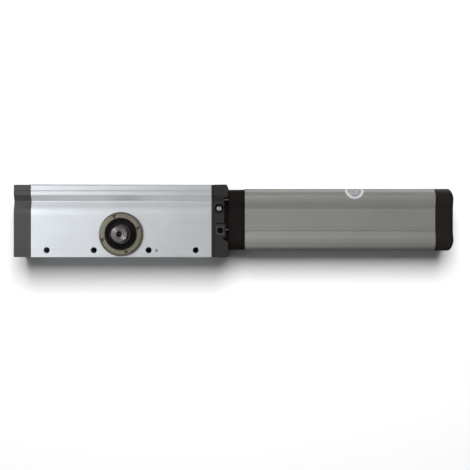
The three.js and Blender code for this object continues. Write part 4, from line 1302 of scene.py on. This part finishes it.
# ---------------------------------------------------------------- operators and panel
class GATE_OT_studio(bpy.types.Operator):
    """Make the camera, the lights, the surroundings and the floor"""

    bl_idname = "gate.studio"
    bl_label = "Studio"

    def execute(self, context):
        build_camera()
        build_surroundings()
        build_lights()
        build_floor()
        return {"FINISHED"}


class GATE_OT_inner_parts(bpy.types.Operator):
    """Finish the pump, motor, piston and bearings, which stay as the model has them"""

    bl_idname = "gate.inner_parts"
    bl_label = "Inner Parts"

    def execute(self, context):
        finish_inner_parts()
        return {"FINISHED"}


class GATE_OT_jack_body(bpy.types.Operator):
    """Build the jack's extrusion, with its bores and mounting holes, and its ball plug"""

    bl_idname = "gate.jack_body"
    bl_label = "Jack Body"

    def execute(self, context):
        build_jack_body()
        build_ball_plug()
        return {"FINISHED"}


class GATE_OT_left_end(bpy.types.Operator):
    """Build the left end cap and its two pan-head screws"""

    bl_idname = "gate.left_end"
    bl_label = "Left End Cap"

    def execute(self, context):
        build_left_end_cap()
        build_left_cap_screws()
        return {"FINISHED"}


class GATE_OT_output_shaft(bpy.types.Operator):
    """Build the splined output shaft with its pinion and tapped end"""

    bl_idname = "gate.output_shaft"
    bl_label = "Output Shaft"

    def execute(self, context):
        build_output_shaft()
        return {"FINISHED"}


class GATE_OT_ring_nut(bpy.types.Operator):
    """Build the ring nut and the lip seal inside it"""

    bl_idname = "gate.ring_nut"
    bl_label = "Ring Nut and Seal"

    def execute(self, context):
        build_ring_nut()
        build_shaft_seal()
        return {"FINISHED"}


class GATE_OT_valve_block(bpy.types.Operator):
    """Build the valve block and the plate between it and the jack"""

    bl_idname = "gate.valve_block"
    bl_label = "Valve Block"

    def execute(self, context):
        build_end_plate()
        build_valve_block()
        return {"FINISHED"}


class GATE_OT_valve_screws(bpy.types.Operator):
    """Build the bleed screw, the manual release and the two bypass valve screws"""

    bl_idname = "gate.valve_screws"
    bl_label = "Valve Screws and Release"

    def execute(self, context):
        build_bleed_screw()
        build_release()
        build_bypass_screws()
        return {"FINISHED"}


class GATE_OT_collar(bpy.types.Operator):
    """Build the collar, its cable grommet and the two gaskets"""

    bl_idname = "gate.collar"
    bl_label = "Collar and Gaskets"

    def execute(self, context):
        build_collar()
        build_cable_grommet()
        build_gaskets()
        return {"FINISHED"}


class GATE_OT_tank(bpy.types.Operator):
    """Build the tank's extrusion and the round label on it"""

    bl_idname = "gate.tank"
    bl_label = "Tank and Label"

    def execute(self, context):
        build_tank()
        build_round_label()
        return {"FINISHED"}


class GATE_OT_right_end(bpy.types.Operator):
    """Build the right end cap and its filler plug"""

    bl_idname = "gate.right_end"
    bl_label = "Right End Cap"

    def execute(self, context):
        build_right_end_cap()
        build_filler_plug()
        return {"FINISHED"}


class GATE_OT_socket_screws(bpy.types.Operator):
    """Build every hexagon socket screw"""

    bl_idname = "gate.socket_screws"
    bl_label = "Socket Screws"

    def execute(self, context):
        build_socket_screws()
        return {"FINISHED"}


STEPS = (
    GATE_OT_studio, GATE_OT_inner_parts, GATE_OT_jack_body, GATE_OT_left_end, GATE_OT_output_shaft,
    GATE_OT_ring_nut, GATE_OT_valve_block, GATE_OT_valve_screws, GATE_OT_collar, GATE_OT_tank,
    GATE_OT_right_end, GATE_OT_socket_screws,
)


class GATE_PT_operator(bpy.types.Panel):
    """Every step of the build, with the sizes and colours it uses"""

    bl_idname = "GATE_PT_operator"
    bl_label = "Gate Operator"
    bl_space_type = "VIEW_3D"
    bl_region_type = "UI"
    bl_category = "Gate Operator"

    def draw(self, context):
        scene = context.scene
        for step in STEPS:
            self.layout.operator(step.bl_idname)
        for group in (scene.gate_operator_sizes, scene.gate_operator_colours, scene.gate_operator_studio):
            box = self.layout.box()
            for name in group.__annotations__:
                box.prop(group, name)


CLASSES = (OperatorSizes, OperatorColours, StudioSettings, *STEPS, GATE_PT_operator)


def register():
    for cls in CLASSES:
        bpy.utils.register_class(cls)
    bpy.types.Scene.gate_operator_sizes = PointerProperty(type=OperatorSizes)
    bpy.types.Scene.gate_operator_colours = PointerProperty(type=OperatorColours)
    bpy.types.Scene.gate_operator_studio = PointerProperty(type=StudioSettings)


def unregister():
    del bpy.types.Scene.gate_operator_studio
    del bpy.types.Scene.gate_operator_colours
    del bpy.types.Scene.gate_operator_sizes
    for cls in reversed(CLASSES):
        bpy.utils.unregister_class(cls)


def main():
    register()
    for step in STEPS:
        getattr(bpy.ops.gate, step.bl_idname.split(".")[1])()
    boxes = {"cad": CAD_BOX, "visual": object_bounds()}
    {name: [list(corner) for corner in box] for name, box in boxes.items()}


if __name__ == "__main__":
    main()
